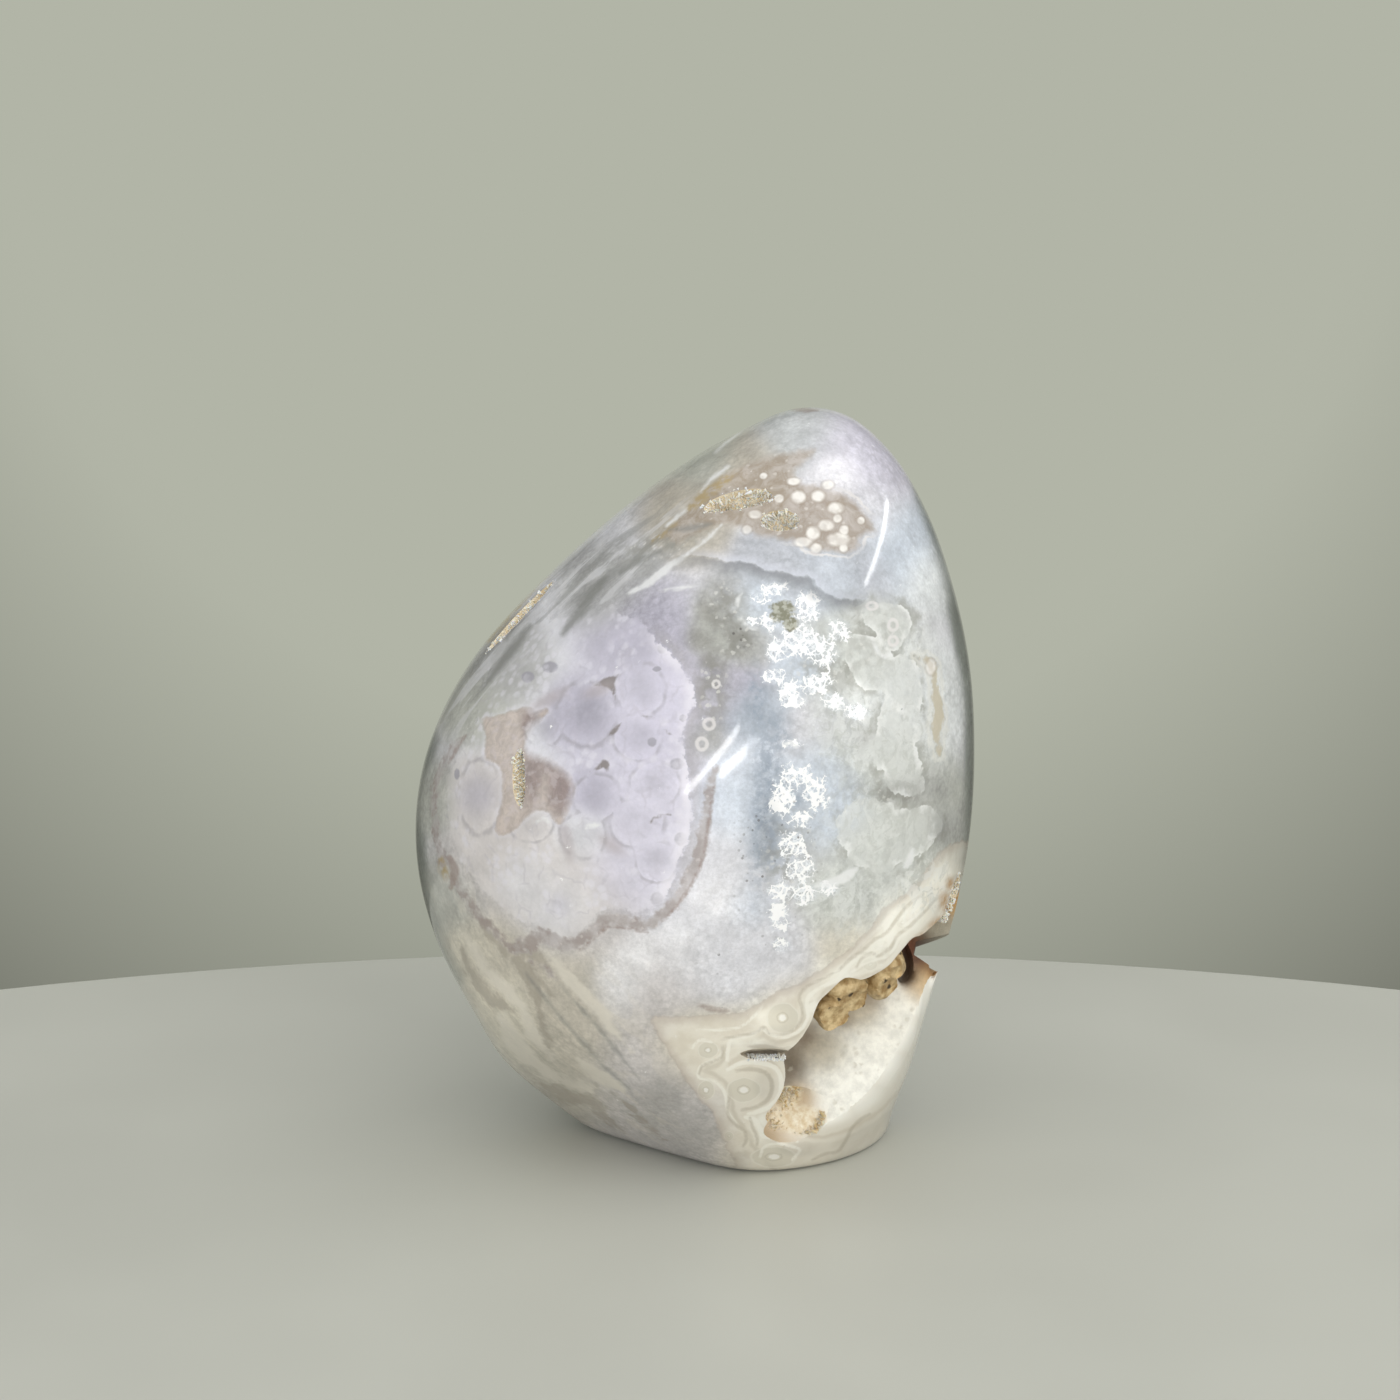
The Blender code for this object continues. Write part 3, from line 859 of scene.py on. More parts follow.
def trail(line, radius):
    """Spots of one radius set closely along a line."""
    line = np.array(line, float)
    spots = []
    for start, end in zip(line[:-1], line[1:]):
        steps = max(1, int(np.linalg.norm(end - start) / radius * TRAIL_CLOSENESS))
        spots += [(*(start + (end - start) * k / steps), radius) for k in range(steps)]
    return tuple(spots)


print("the vug's crystals cover", int((soft_spots(GROWN) > 0.5).sum()), "points of the stone")

# %% Noise for the back, and storing a marking


def solid_noise(size, offset):
    """Smooth noise through the whole stone, about -1 to 1, with bumps of a size in millimetres."""
    offset = Vector((offset, 3.1 * offset, -1.7 * offset))
    return np.array([noise(Vector(point) / size + offset) for point in points])


def patches_behind(size, offset, gain, more=0.0):
    return solid_noise(size, offset) * gain + more


def veins_behind(size, offset, gain, more=0.0):
    """Near zero along winding lines, where the noise changes its sign."""
    return np.abs(solid_noise(size, offset)) * gain + more


def spots_behind(size, offset, gain, more=0.0, least=0.0, most=1.0):
    return np.clip(patches_behind(size, offset, gain, more), least, most)


def store(name, in_front, behind=0.0):
    """Keeps one number a point on the stone, blended from front to back."""
    values = in_front * front + behind * (1 - front)
    agate.data.attributes.new(name, "FLOAT", "POINT").data.foreach_set("value", values)


def store_colour(name, colours):
    kept = agate.data.attributes.new(name, "FLOAT_COLOR", "POINT")
    kept.data.foreach_set("color", np.hstack([colours, np.ones((count, 1))]).ravel())


def store_spots(name, spots, *behind, **limits):
    store(name, soft_spots(spots), spots_behind(*behind, **limits))


def store_lines(name, lines, *behind):
    store(name, lines_distance(lines), veins_behind(*behind))


def blended(ground, washes):
    """Colours of the washes (x, y, radius, colour), mixed by how near each is, on a faint ground."""
    weight = np.full(count, WASH_WEIGHT)
    tone = np.outer(weight, srgb(*ground)[:3])
    for x, y, radius, colour in washes:
        share = np.exp(-(((places - (x, y)) / radius) ** 2).sum(axis=1))
        weight += share
        tone += np.outer(share, srgb(*colour)[:3])
    return tone / weight[:, None]


WASH_WEIGHT = 0.02
print("a wash of weight", WASH_WEIGHT, "lies under the others")

# %% Colours of the ground
PALETTE = {
    "white": (246, 245, 248), "milk": (222, 222, 228), "lavender": (211, 208, 222),
    "violet": (183, 180, 195), "blue milk": (207, 215, 226), "blue grey": (180, 188, 199),
    "pale cloud": (226, 229, 230), "green grey": (206, 209, 205), "olive grey": (188, 190, 181),
    "smoke": (176, 176, 176), "taupe": (188, 181, 168), "warm pale": (208, 203, 202),
    "sand": (202, 195, 182), "bone": (222, 214, 198), "ivory": (252, 250, 240),
    "left edge shade": (190, 191, 184), "edge shade": (132, 137, 131), "haze": (190, 193, 201),
    "pale blue": (228, 234, 245), "straw": (222, 216, 200), "lavender shade": (196, 193, 209),
    "facet shade": (163, 161, 158), "dim": (148, 147, 141), "stone shade": (160, 155, 142),
}
BACK_COLOURS = ("milk", "lavender", "pale cloud", "warm pale", "blue milk")
BACK_PATCHES = 17.0
BACK_CONTRAST = 5
BACK_OFFSET = 2.0
print(len(PALETTE), "colours")

# %% Washes of ground colour
WASHES = {
    # The first white wash, high on the cap, is partly painted light: a soft glow from the window.
    "white": ((836, 474, 20), (715, 898, 22), (682, 950, 20), (620, 985, 20), (640, 960, 16)),
    "haze": ((830, 574, 20), (800, 566, 20), (765, 552, 18), (872, 580, 16), (800, 430, 26), (860, 560, 14)),
    "pale blue": ((738, 805, 22), (734, 770, 14), (745, 905, 16), (752, 752, 12)),
    "lavender shade": ((665, 700, 28), (645, 745, 24), (478, 797, 14), (560, 905, 10)),
    "dim": ((726, 624, 13), (741, 641, 10), (712, 612, 10), (700, 640, 10), (714, 664, 10)),
    # Painted shade on the lower left facet, which faces down.
    "facet shade": ((700, 1130, 20), (664, 1096, 20), (742, 1158, 8)),
    "straw": (
        (496, 1002, 26), (520, 1030, 24), (500, 1000, 30), (470, 955, 26), (700, 1040, 22), (860, 950, 18),
    ),
    "milk": (
        (768, 960, 34), (560, 905, 26), (520, 880, 20), (725, 865, 34), (715, 910, 34), (700, 955, 38),
        (868, 505, 26), (583, 836, 18),
    ),
    "lavender": (
        (850, 445, 36), (660, 700, 36), (650, 785, 42), (655, 860, 34), (620, 870, 26), (885, 470, 22),
    ),
    "violet": ((640, 638, 34), (588, 716, 24), (594, 792, 20), (720, 690, 24)),
    "blue milk": (
        (830, 572, 26), (905, 545, 30), (740, 800, 30), (800, 666, 16), (830, 800, 28), (753, 606, 20),
    ),
    "blue grey": ((768, 800, 20), (764, 850, 16), (748, 715, 20)),
    "pale cloud": ((900, 705, 38), (935, 575, 22), (930, 690, 20)),
    "green grey": ((860, 650, 34), (890, 765, 34), (900, 852, 38), (850, 905, 30), (800, 430, 28)),
    "olive grey": ((925, 800, 26), (945, 840, 22), (700, 448, 26), (728, 632, 22)),
    "smoke": (
        (640, 566, 10), (605, 592, 24), (500, 662, 26), (716, 692, 16), (706, 738, 15), (727, 626, 20),
        (744, 640, 16), (730, 600, 16), (944, 828, 18), (868, 734, 10), (906, 792, 18), (928, 790, 16),
        (940, 832, 12),
    ),
    "taupe": ((690, 515, 26), (750, 470, 26), (800, 1150, 14), (764, 1048, 8)),
    "warm pale": (
        (575, 895, 40), (500, 868, 36), (660, 992, 34), (480, 800, 24), (640, 1090, 40), (700, 1130, 32),
    ),
    "sand": (
        (490, 980, 40), (560, 1010, 42), (560, 1080, 36), (865, 1145, 24), (905, 1105, 18), (925, 1060, 12),
        (800, 1150, 18),
    ),
    # Painted shade on the lower jaw right of the crevice, which faces down and away from the lamps.
    "stone shade": ((862, 1138, 20), (885, 1122, 16), (905, 1108, 16), (840, 1155, 16)),
    "bone": (
        (690, 1045, 28), (745, 1050, 30), (792, 1010, 28), (850, 952, 26), (745, 1145, 26), (790, 1160, 26),
        (925, 1020, 18),
    ),
    "ivory": (
        (890, 940, 20), (908, 918, 24), (940, 885, 22), (865, 958, 18), (835, 975, 14), (770, 1018, 16),
        (720, 1060, 18),
    ),
    # Painted shade along the left outline, where the skin turns away from the lamps.
    "left edge shade": ((424, 800, 22), (440, 905, 26), (470, 700, 24)),
}
print(sum(len(spots) for spots in WASHES.values()), "washes placed by hand")

# %% Painted shade trailed down both edges, and the mix of all washes
RIGHT_EDGE_SHADE = (
    (920, 470), (938, 530), (953, 580), (964, 620), (971, 660), (978, 720), (979, 755), (977, 790),
    (974, 830), (969, 866),
)
LEFT_EDGE_SHADE = ((424, 738), (413, 780), (409, 820), (413, 860), (424, 905), (437, 945), (460, 985))
EDGE_SHADE_RADIUS = 7
# Dark spots set closely along both outlines are painted shade, where the skin turns away from the light.
WASHES["edge shade"] = trail(RIGHT_EDGE_SHADE, EDGE_SHADE_RADIUS) + trail(LEFT_EDGE_SHADE, EDGE_SHADE_RADIUS)
washes = [(*spot, PALETTE[name]) for name, spots in WASHES.items() for spot in spots]
tone = blended(PALETTE["milk"], washes)
back = np.zeros((count, 3))
weight = np.zeros(count)
for k, name in enumerate(BACK_COLOURS):
    share = np.exp(BACK_CONTRAST * solid_noise(BACK_PATCHES, BACK_OFFSET + k))
    weight += share
    back += np.outer(share, srgb(*PALETTE[name])[:3])
store_colour("tone", tone * front[:, None] + back / weight[:, None] * (1 - front[:, None]))
print(len(washes), "washes")

# %% Veins, with rust along some of them
VEINS = (
    ((716, 768, 2.5), (711, 785, 4), (707, 808, 5.5), (702, 836, 6.5), (698, 860, 6.5), (688, 879, 6),
     (679, 898, 6.5), (665, 912, 6.5), (647, 925, 6), (625, 920, 6.5), (607, 919, 7), (593, 930, 6.5),
     (578, 942, 7), (566, 946, 6), (552, 940, 8), (540, 936, 8), (527, 944, 10), (512, 948, 6),
     (500, 936, 5), (490, 926, 5), (478, 916, 4), (463, 894, 4), (450, 878, 3.5)),
    ((466, 735, 2), (453, 747, 3), (443, 766, 3.5), (437, 782, 3.5), (434, 811, 3.5), (437, 839, 3.5),
     (443, 862, 5)),
    ((530, 960, 2), (545, 968, 4), (556, 980, 2)),
)
RUSTY = (
    ((715, 780, 0.6), (711, 805, 1.6), (707, 835, 1.8), (703, 858, 1.6), (694, 880, 1.4), (684, 896, 1.4),
     (668, 916, 0.8)),
    ((648, 932, 0.6), (627, 929, 1.2), (608, 927, 1.2), (595, 938, 1.2), (580, 950, 1)),
    ((793, 409, 1.5), (805, 410, 2.5), (818, 410, 1)), ((450, 858, 3), (455, 872, 4.5), (451, 888, 2.5)),
    ((698, 1005, 1.5), (712, 1009, 2.5), (728, 1011, 1.5)),
    ((466, 735, 0.8), (457, 749, 1.4), (448, 764, 0.8)),
)
store_lines("vein", VEINS, 27, 5.3, 20, -0.5)
store_lines("rust", RUSTY, 23, 5.42, 20, -0.1)
print(len(VEINS), "veins")

# %% Dark lines and flows of the flanks
DARK_LINES = (
    ((606, 577, 2), (594, 592, 4.5), (580, 612, 5), (563, 634, 2.5)),
    ((530, 625, 2), (515, 645, 5), (497, 669, 3.5), (482, 690, 2)),
    ((660, 552, 2), (640, 560, 4), (622, 572, 2.5)), ((545, 590, 1), (526, 612, 2.5), (505, 640, 1.5)),
    ((526, 974, 0.5), (555, 1010, 1), (584, 1044, 1), (605, 1067, 1), (630, 1089, 0.5)),
    ((560, 985, 0.2), (600, 1030, 0.8), (640, 1080, 0.4)), ((668, 530, 1), (690, 528, 2.5), (712, 524, 1)),
)
FLOWS = (
    ((478, 918, 2), (490, 934, 4), (503, 950, 5), (516, 962, 4), (530, 978, 6), (537, 998, 5),
     (541, 1020, 4), (548, 1046, 2)),
    ((503, 950, 3), (522, 950, 6), (538, 956, 6), (550, 968, 3)),
    ((533, 985, 2), (541, 982, 3), (552, 996, 1)),
    ((462, 950, 1), (470, 968, 4), (480, 986, 6), (492, 1000, 5), (508, 1008, 3), (520, 1018, 1)),
    ((540, 1084, 3), (556, 1090, 6), (574, 1098, 6), (594, 1102, 4), (606, 1118, 4), (626, 1132, 1)),
    ((596, 1084, 0.5), (618, 1098, 2), (640, 1118, 3), (664, 1140, 1)),
)
PALE_FLOWS = (
    ((466, 935, 2), (473, 950, 5), (486, 970, 5), (506, 988, 6), (524, 1010, 6), (534, 1036, 6),
     (552, 1060, 4)),
    ((548, 952, 3), (575, 985, 7), (600, 1012, 6), (618, 1036, 4), (630, 1050, 1)),
    ((500, 1018, 5), (520, 1048, 9), (552, 1078, 6), (590, 1088, 4)),
    ((580, 1060, 3), (600, 1076, 7), (622, 1090, 3)),
)
store_lines("dark_line", DARK_LINES, 31, 8, 24, 0.02)
store_lines("flow", FLOWS, 25, 3.14, 26, 0.3)
store_lines("pale_flow", PALE_FLOWS, 25, 4.6, 26, 0.3)
print(len(FLOWS) + len(PALE_FLOWS), "flows")

# %% The cap, the golden lines and spots of warm colour
CAP = (
    (640, 545), (664, 556), (690, 556), (705, 557), (725, 561), (751, 562), (758, 567), (769, 570),
    (783, 571), (796, 576), (811, 577), (820, 588), (834, 597), (849, 599), (872, 600), (892, 606),
    (920, 604), (980, 600), (990, 470), (900, 370), (780, 370), (690, 430), (640, 500),
)
CAP_SHADE = ((745, 566, 56, 16, 8), (800, 584, 34, 18, 22), (838, 603, 24, 12, 6))
GOLD_LINES = (
    ((735, 474, 2), (722, 482, 5), (704, 496, 6), (690, 508, 4)),
    ((676, 524, 2), (664, 534, 3), (652, 542, 1)),
    ((548, 573, 2), (530, 590, 4), (512, 612, 4), (498, 628, 4), (487, 642, 2)),
    ((441, 860, 3), (443, 868, 4), (446, 878, 3)),
)
BLUSH = (
    (567, 842, 6, 20, -12), (611, 845, 14, 6, 35), (598, 690, 14, 6, -20), (548, 700, 20, 6, -30),
    (700, 1008, 18, 6, 10), (740, 462, 30, 8, -20), (860, 590, 30, 6, 10),
)
DEEP_BROWN = ((532, 772, 12, 34, 6), (560, 790, 14, 26, 0), (531, 724, 10, 18, 0), (548, 765, 12, 10, 0))
IVORY_BAND = (
    (850, 968, 22, 9, -38), (878, 948, 24, 12, -36), (908, 918, 26, 13, -48), (938, 888, 16, 14, -55),
    (812, 1004, 9, 14, 0), (745, 1042, 20, 5, 0), (762, 1128, 10, 14, 0),
)
AMBER = ((947, 903, 7, 11, -15), (938, 924, 14, 5, -38), (925, 936, 10, 4, -30), (950, 884, 4, 6, 0))
store("cap", area_distance(CAP), patches_behind(31, 8, 20))
store_spots("cap_shade", CAP_SHADE, 22, 2.7, 2, most=0.8)
store("gold", lines_distance(GOLD_LINES), patches_behind(13, 1.4, 12, 10.5))
store_spots("blush", BLUSH, 11, 4.7, 1.8, -0.5)
store_spots("deep_brown", DEEP_BROWN, 8, 6.1, 2)
store_spots("ivory_band", IVORY_BAND, 9, 5.1, 2)
store("amber", soft_spots(AMBER))
print("cap outline of", len(CAP), "points")

# %% White lines and painted glints
WHITE_LINES_AND_GLINTS = (
    # The lines down to the two short strokes on the flower are painted highlights: glints along the crest
    # and the saddle, the pale sliver in the saddle and two small reflections on the flower's lobes. The rest
    # are white lines of the stone.
    ((714, 453, 0.8), (730, 440, 1.2), (749, 424, 0.8)),
    ((660, 572, 0.8), (675, 564, 1.4), (690, 552, 1), (706, 540, 1.2), (722, 524, 0.8)),
    ((660, 591, 0.6), (680, 588, 1.4), (698, 585, 0.6)),
    ((700, 492, 0.4), (712, 479, 1.6), (728, 466, 1.2)),
    ((667, 526, 0.6), (676, 518, 1.8), (688, 508, 0.8)),
    ((627, 593, 0.8), (640, 588, 2.5), (655, 578, 3.5), (672, 564, 3), (682, 557, 1)),
    ((586, 828, 1), (594, 825, 3), (602, 824, 1)), ((536, 822, 0.5), (544, 818, 1.5), (550, 824, 0.5)),
    ((742, 592, 0.4), (738, 600, 1.2), (737, 608, 0.6)),
    ((741, 618, 0.6), (750, 627, 1.4), (760, 630, 0.6)),
    ((816, 886, 2), (830, 883, 4), (845, 877, 5), (857, 868, 2)),
    ((784, 745, 1.5), (790, 743, 2), (797, 747, 1)),
    ((872, 638, 1), (876, 648, 1.6), (883, 656, 1.6), (892, 654, 0.8)),
    ((912, 850, 2), (910, 858, 3.5), (906, 866, 2)),
)
store_lines("white_line", WHITE_LINES_AND_GLINTS, 27, 9.6, 26, 0.1)
print(len(WHITE_LINES_AND_GLINTS), "white lines")

# %% Pale and grey lines of the bands
PALE_LINES = (
    ((900, 934, 1.2), (888, 944, 1.4), (876, 950, 1.2), (861, 954, 1.4), (847, 968, 1.6), (838, 979, 1.6),
     (826, 985, 1.6), (815, 991, 1.6), (808, 998, 1.6), (807, 1007, 1.6), (808, 1017, 1.6),
     (803, 1027, 1.6), (794, 1034, 1.6), (782, 1037, 1.6), (770, 1034, 1.6), (762, 1029, 1.4),
     (754, 1034, 1.4), (742, 1038, 1.4), (731, 1040, 1.6), (728, 1050, 2), (727, 1060, 1.6)),
    ((727, 1070, 1.4), (742, 1063, 2), (760, 1063, 2), (774, 1067, 2.2), (781, 1078, 2.2), (780, 1094, 2.2),
     (772, 1105, 2.2), (760, 1111, 2), (748, 1114, 1.4)),
    ((745, 1117, 1.4), (756, 1121, 2.2), (761, 1131, 2), (764, 1137, 1.6), (780, 1137, 1.6),
     (794, 1136, 1.4), (797, 1142, 1)),
    ((722, 1044, 0.8), (720, 1056, 1), (706, 1063, 1), (699, 1068, 1), (699, 1078, 1.2), (712, 1080, 1.2),
     (722, 1088, 1.4), (726, 1098, 1.4), (728, 1112, 1.2), (736, 1123, 1)),
    ((760, 1157, 1), (764, 1147, 1.2), (775, 1144, 1.2), (790, 1146, 1.2), (800, 1150, 1.2), (792, 1160, 1)),
    ((944, 884, 1), (930, 903, 1.4), (915, 918, 1.6), (905, 926, 1.4)),
    ((832, 976, 1.2), (846, 962, 1.4), (860, 945, 1.4), (876, 930, 1.4), (892, 914, 1.4), (908, 898, 1.4),
     (926, 882, 1)),
    ((842, 982, 1), (852, 972, 1.2), (868, 962, 1.2), (884, 958, 1), (893, 950, 1.2), (900, 938, 1.2),
     (914, 928, 1)),
    ((696, 1030, 0.8), (716, 1030, 1.2), (740, 1027, 1.2), (754, 1016, 1.2), (764, 1004, 1)),
    ((692, 1048, 1), (700, 1040, 1.4), (712, 1042, 1)),
)
GREY_LINES = (
    ((748, 1046, 1), (765, 1047, 2.4), (780, 1050, 2), (790, 1048, 0.8)),
    ((838, 971, 0.8), (850, 959, 1.4), (862, 951, 1.2), (874, 940, 1.4), (886, 933, 1.2), (896, 920, 1.4),
     (906, 907, 1.4), (924, 893, 1)),
    ((856, 968, 0.8), (862, 958, 1.2), (872, 953, 1.2), (878, 956, 1.2), (890, 948, 1.4), (897, 936, 1.2),
     (910, 926, 1.4), (924, 912, 1.2), (936, 899, 0.8)),
    ((834, 973, 0.8), (820, 980, 1), (806, 987, 1), (799, 997, 1.2), (802, 1008, 1.2), (802, 1018, 1.2),
     (795, 1029, 1.2), (784, 1034, 1), (770, 1034, 0.8), (764, 1027, 1), (757, 1032, 1), (744, 1035, 1),
     (722, 1039, 1.2)),
    ((722, 1045, 1.2), (722, 1056, 1.2), (714, 1061, 1.2), (703, 1066, 1.2), (699, 1074, 1)),
    ((736, 1071, 1.2), (752, 1069, 1.8), (767, 1074, 1.8), (772, 1086, 1.8), (768, 1099, 1.8),
     (756, 1107, 1.6), (742, 1110, 1.2)),
    ((729, 1096, 1), (728, 1114, 1.2), (736, 1125, 1.4), (745, 1132, 1.4), (746, 1141, 1.2), (743, 1146, 1)),
    ((750, 1118, 1), (753, 1128, 1.4), (757, 1138, 1.4), (757, 1146, 1)),
    ((870, 1114, 0.8), (861, 1119, 1.4), (852, 1128, 1.4), (846, 1140, 1.4), (838, 1151, 1.2),
     (825, 1154, 1.2), (812, 1160, 0.8)),
    ((852, 609, 1), (862, 616, 1.6), (872, 621, 1)), ((866, 728, 2), (872, 736, 3), (880, 722, 1.5)),
)
store_lines("pale_line", PALE_LINES, 9, 7.6, 10)
store_lines("grey_line", GREY_LINES, 9, 8.4, 10)
print(len(PALE_LINES), "pale lines and", len(GREY_LINES), "grey ones")

# %% The flower, its brown patch and the dark gaps between its lobes
FLOWER = (
    (500, 640), (530, 626), (560, 617), (598, 611), (626, 613), (645, 624), (656, 640), (668, 652),
    (680, 668), (692, 686), (693, 702), (685, 722), (681, 740), (688, 768), (690, 793), (691, 815),
    (689, 838), (679, 862), (672, 887), (660, 902), (640, 911), (620, 911), (604, 911), (592, 922),
    (580, 934), (566, 940), (545, 929), (520, 922), (495, 902), (470, 876), (455, 850), (447, 820),
    (448, 780), (458, 755), (470, 735), (480, 700), (488, 668),
)
BROWN = (
    (483, 720), (497, 716), (513, 711), (526, 707), (536, 712), (545, 708), (549, 712), (540, 720),
    (532, 726), (527, 735), (526, 748), (532, 755), (544, 758), (554, 764), (563, 770), (573, 782),
    (573, 794), (569, 808), (562, 822), (554, 821), (545, 811), (530, 814), (516, 828), (505, 835),
    (497, 834), (496, 826), (501, 807), (503, 790), (503, 776), (498, 764), (485, 758), (486, 738),
)
INTERSTICES = (
    ((594, 686, 0.2), (601, 683, 2), (609, 682, 5), (616, 677, 1.5), (622, 674, 0.3)),
    ((609, 682, 4.5), (613, 690, 2.5), (616, 702, 0.3)),
    ((608, 736, 0.2), (614, 731, 2.5), (621, 723, 0.4)),
    ((590, 772, 0.2), (598, 768, 1.5), (605, 764, 4), (608, 772, 0.8)),
    ((640, 716, 0.2), (648, 718, 1.5), (652, 716, 0.3)),
    ((664, 729, 0.3), (668, 733, 1.5), (672, 734, 0.2)),
    ((650, 824, 0.4), (656, 817, 1.5), (670, 815, 0.8)),
)
flower_behind = patches_behind(26, 7.1, -26, 7)
store("flower", area_distance(FLOWER), flower_behind)
store("brown", area_distance(BROWN), flower_behind + 8.5 + 7 * solid_noise(11, 0.6))
store("interstice", lines_distance(INTERSTICES), patches_behind(5, 2.2, -8, 4.6))
print("flower outline of", len(FLOWER), "points")

# %% The taupe crown, the plates and the tan slit
TAUPE = (
    (660, 536), (672, 520), (684, 508), (697, 492), (712, 481), (728, 471), (747, 462), (769, 454),
    (792, 449), (812, 446), (817, 452), (806, 463), (796, 473), (800, 481), (816, 484), (834, 489),
    (846, 493), (860, 505), (872, 519), (878, 532), (864, 536), (861, 546), (849, 554), (824, 554),
    (806, 551), (800, 543), (776, 540), (755, 538), (740, 530), (718, 528), (696, 536), (676, 544),
)
PLATES = (
    ((884, 697), (893, 700), (901, 712), (912, 708), (921, 716), (922, 740), (920, 760), (921, 792),
     (908, 795), (893, 792), (884, 782), (878, 766), (872, 753), (868, 742), (878, 728), (880, 712)),
    ((846, 640), (862, 632), (880, 640), (893, 655), (905, 655), (916, 670), (922, 690), (918, 705),
     (900, 706), (884, 694), (862, 690), (848, 670)),
    ((858, 606), (880, 601), (900, 603), (912, 616), (908, 634), (892, 650), (876, 634), (862, 620)),
    ((848, 808), (880, 800), (905, 810), (928, 807), (938, 816), (938, 832), (915, 858), (880, 872),
     (850, 862), (836, 830)),
)
TAN_SLIT = (
    ((914, 656, 1.5), (927, 660, 3), (933, 672, 4), (935, 690, 3.5), (938, 712, 6), (937, 732, 5),
     (938, 754, 1)),
)
plates = np.min([area_distance(plate) for plate in PLATES], axis=0)
store("taupe", area_distance(TAUPE), patches_behind(19, 3.3, -20, 12))
store("plate", plates, patches_behind(18, 3.5, -16, 7.5))
store("tan_slit", lines_distance(TAN_SLIT), patches_behind(12, 6.6, -12, 9.5))
print(len(PLATES), "plates")

# %% Cream bands round the mouth
CREAM = (
    (653, 1020), (678, 1019), (700, 1018), (720, 1015), (742, 1012), (760, 1003), (775, 995), (800, 985),
    (820, 970), (850, 952), (868, 932), (882, 912), (900, 898), (920, 880), (945, 850), (985, 850),
    (985, 960), (930, 1130), (870, 1175), (760, 1185), (738, 1168), (733, 1155), (722, 1135), (715, 1115),
    (700, 1098), (683, 1078), (675, 1060), (665, 1045),
)
BAND = (
    (935, 880), (922, 904), (912, 914), (904, 916), (898, 922), (895, 930), (891, 943), (881, 955),
    (865, 958), (849, 968), (838, 978), (821, 987), (814, 997), (801, 999), (797, 1007), (800, 1018),
    (795, 1030), (782, 1036), (770, 1033), (763, 1024), (757, 1033), (742, 1038), (726, 1041), (720, 1045),
    (718, 1058), (704, 1064), (700, 1074), (711, 1079), (720, 1086), (726, 1095), (727, 1108), (731, 1120),
    (738, 1129), (745, 1138), (747, 1147), (756, 1158), (767, 1170), (800, 1190), (900, 1170), (960, 1050),
    (975, 950), (985, 870),
)
INNER_BAND = (
    (945, 890), (930, 912), (918, 926), (908, 934), (900, 944), (888, 960), (876, 966), (858, 971),
    (845, 978), (832, 990), (820, 999), (816, 1012), (808, 1028), (797, 1041), (784, 1046), (765, 1043),
    (748, 1045), (738, 1050), (728, 1056), (722, 1066), (728, 1072), (745, 1064), (762, 1066), (774, 1074),
    (775, 1090), (768, 1102), (754, 1110), (750, 1122), (760, 1134), (775, 1139), (800, 1142), (840, 1140),
    (900, 1100), (960, 1000), (985, 900),
)
JAW = ((880, 1110, 26, 14, -42), (905, 1070, 26, 14, -62), (925, 1020, 34, 14, -75), (935, 985, 26, 12, -80))
EYES = (
    (783, 1018, 17, 16), (744, 1090, 18, 13), (773, 1157, 4, 4), (870, 964, 8, 7), (881, 946, 8, 6),
    (903, 923, 7, 6), (706, 1090, 9, 10), (708, 1050, 11, 9), (729, 1136, 5, 5), (774, 1157, 24, 11),
)
# Painted light on the skin where the brightly lit white slope rounds over onto it.
SLOPE_PAINTED_LIGHT = (
    (835, 1116, 20, 8, -12), (868, 1100, 20, 8, -40), (890, 1070, 22, 8, -60), (908, 1036, 22, 8, -62),
    (922, 1004, 20, 8, -66), (932, 975, 16, 8, -72),
)
JAW_SEEN_TO = 4
EYES_NEAR = 0.1
EYES_FAR = 6.0
JAW_CREAM = (2.5, 6)
jaw = soft_spots(JAW) * (points[:, 1] < JAW_SEEN_TO)
front = np.maximum(front, jaw)
cream = np.minimum(area_distance(CREAM), JAW_CREAM[0] - JAW_CREAM[1] * jaw)
store("cream", cream, patches_behind(21, 9.2, -22, 9))
store("band", area_distance(BAND), patches_behind(21, 9.2, 20, 2))
store("inner_band", area_distance(INNER_BAND), patches_behind(21, 9.2, 20, 5))
store("eyes", nearest_round(EYES, EYES_FAR), spots_behind(6.5, 4.4, -5, 3, EYES_NEAR, EYES_FAR))
store("slope_painted_light", soft_spots(SLOPE_PAINTED_LIGHT))
print(len(EYES), "eyes in the bands")

# %% Lace, chalk and moss
LACE = (
    (764, 597, 10, 8, 0), (752, 622, 8, 6, 30), (778, 588, 20, 8, -8), (808, 604, 14, 20, 0),
    (768, 622, 10, 12, 0), (800, 640, 24, 16, 15), (822, 652, 18, 16, 20), (838, 630, 12, 12, 30),
    (776, 650, 12, 14, 0), (776, 676, 14, 8, 0), (812, 684, 20, 10, -15), (788, 697, 14, 15, 0),
    (834, 702, 16, 9, 20), (856, 712, 12, 8, 0), (790, 744, 12, 6, 0), (797, 775, 16, 14, 0),
    (814, 795, 14, 20, 0), (783, 800, 14, 22, 0), (800, 818, 18, 10, 0), (792, 845, 16, 14, 0),
    (800, 868, 16, 14, 0), (779, 890, 12, 14, 0), (805, 893, 16, 10, 0), (779, 918, 12, 16, 0),
    (828, 889, 12, 8, 0), (782, 945, 10, 8, 0),
)
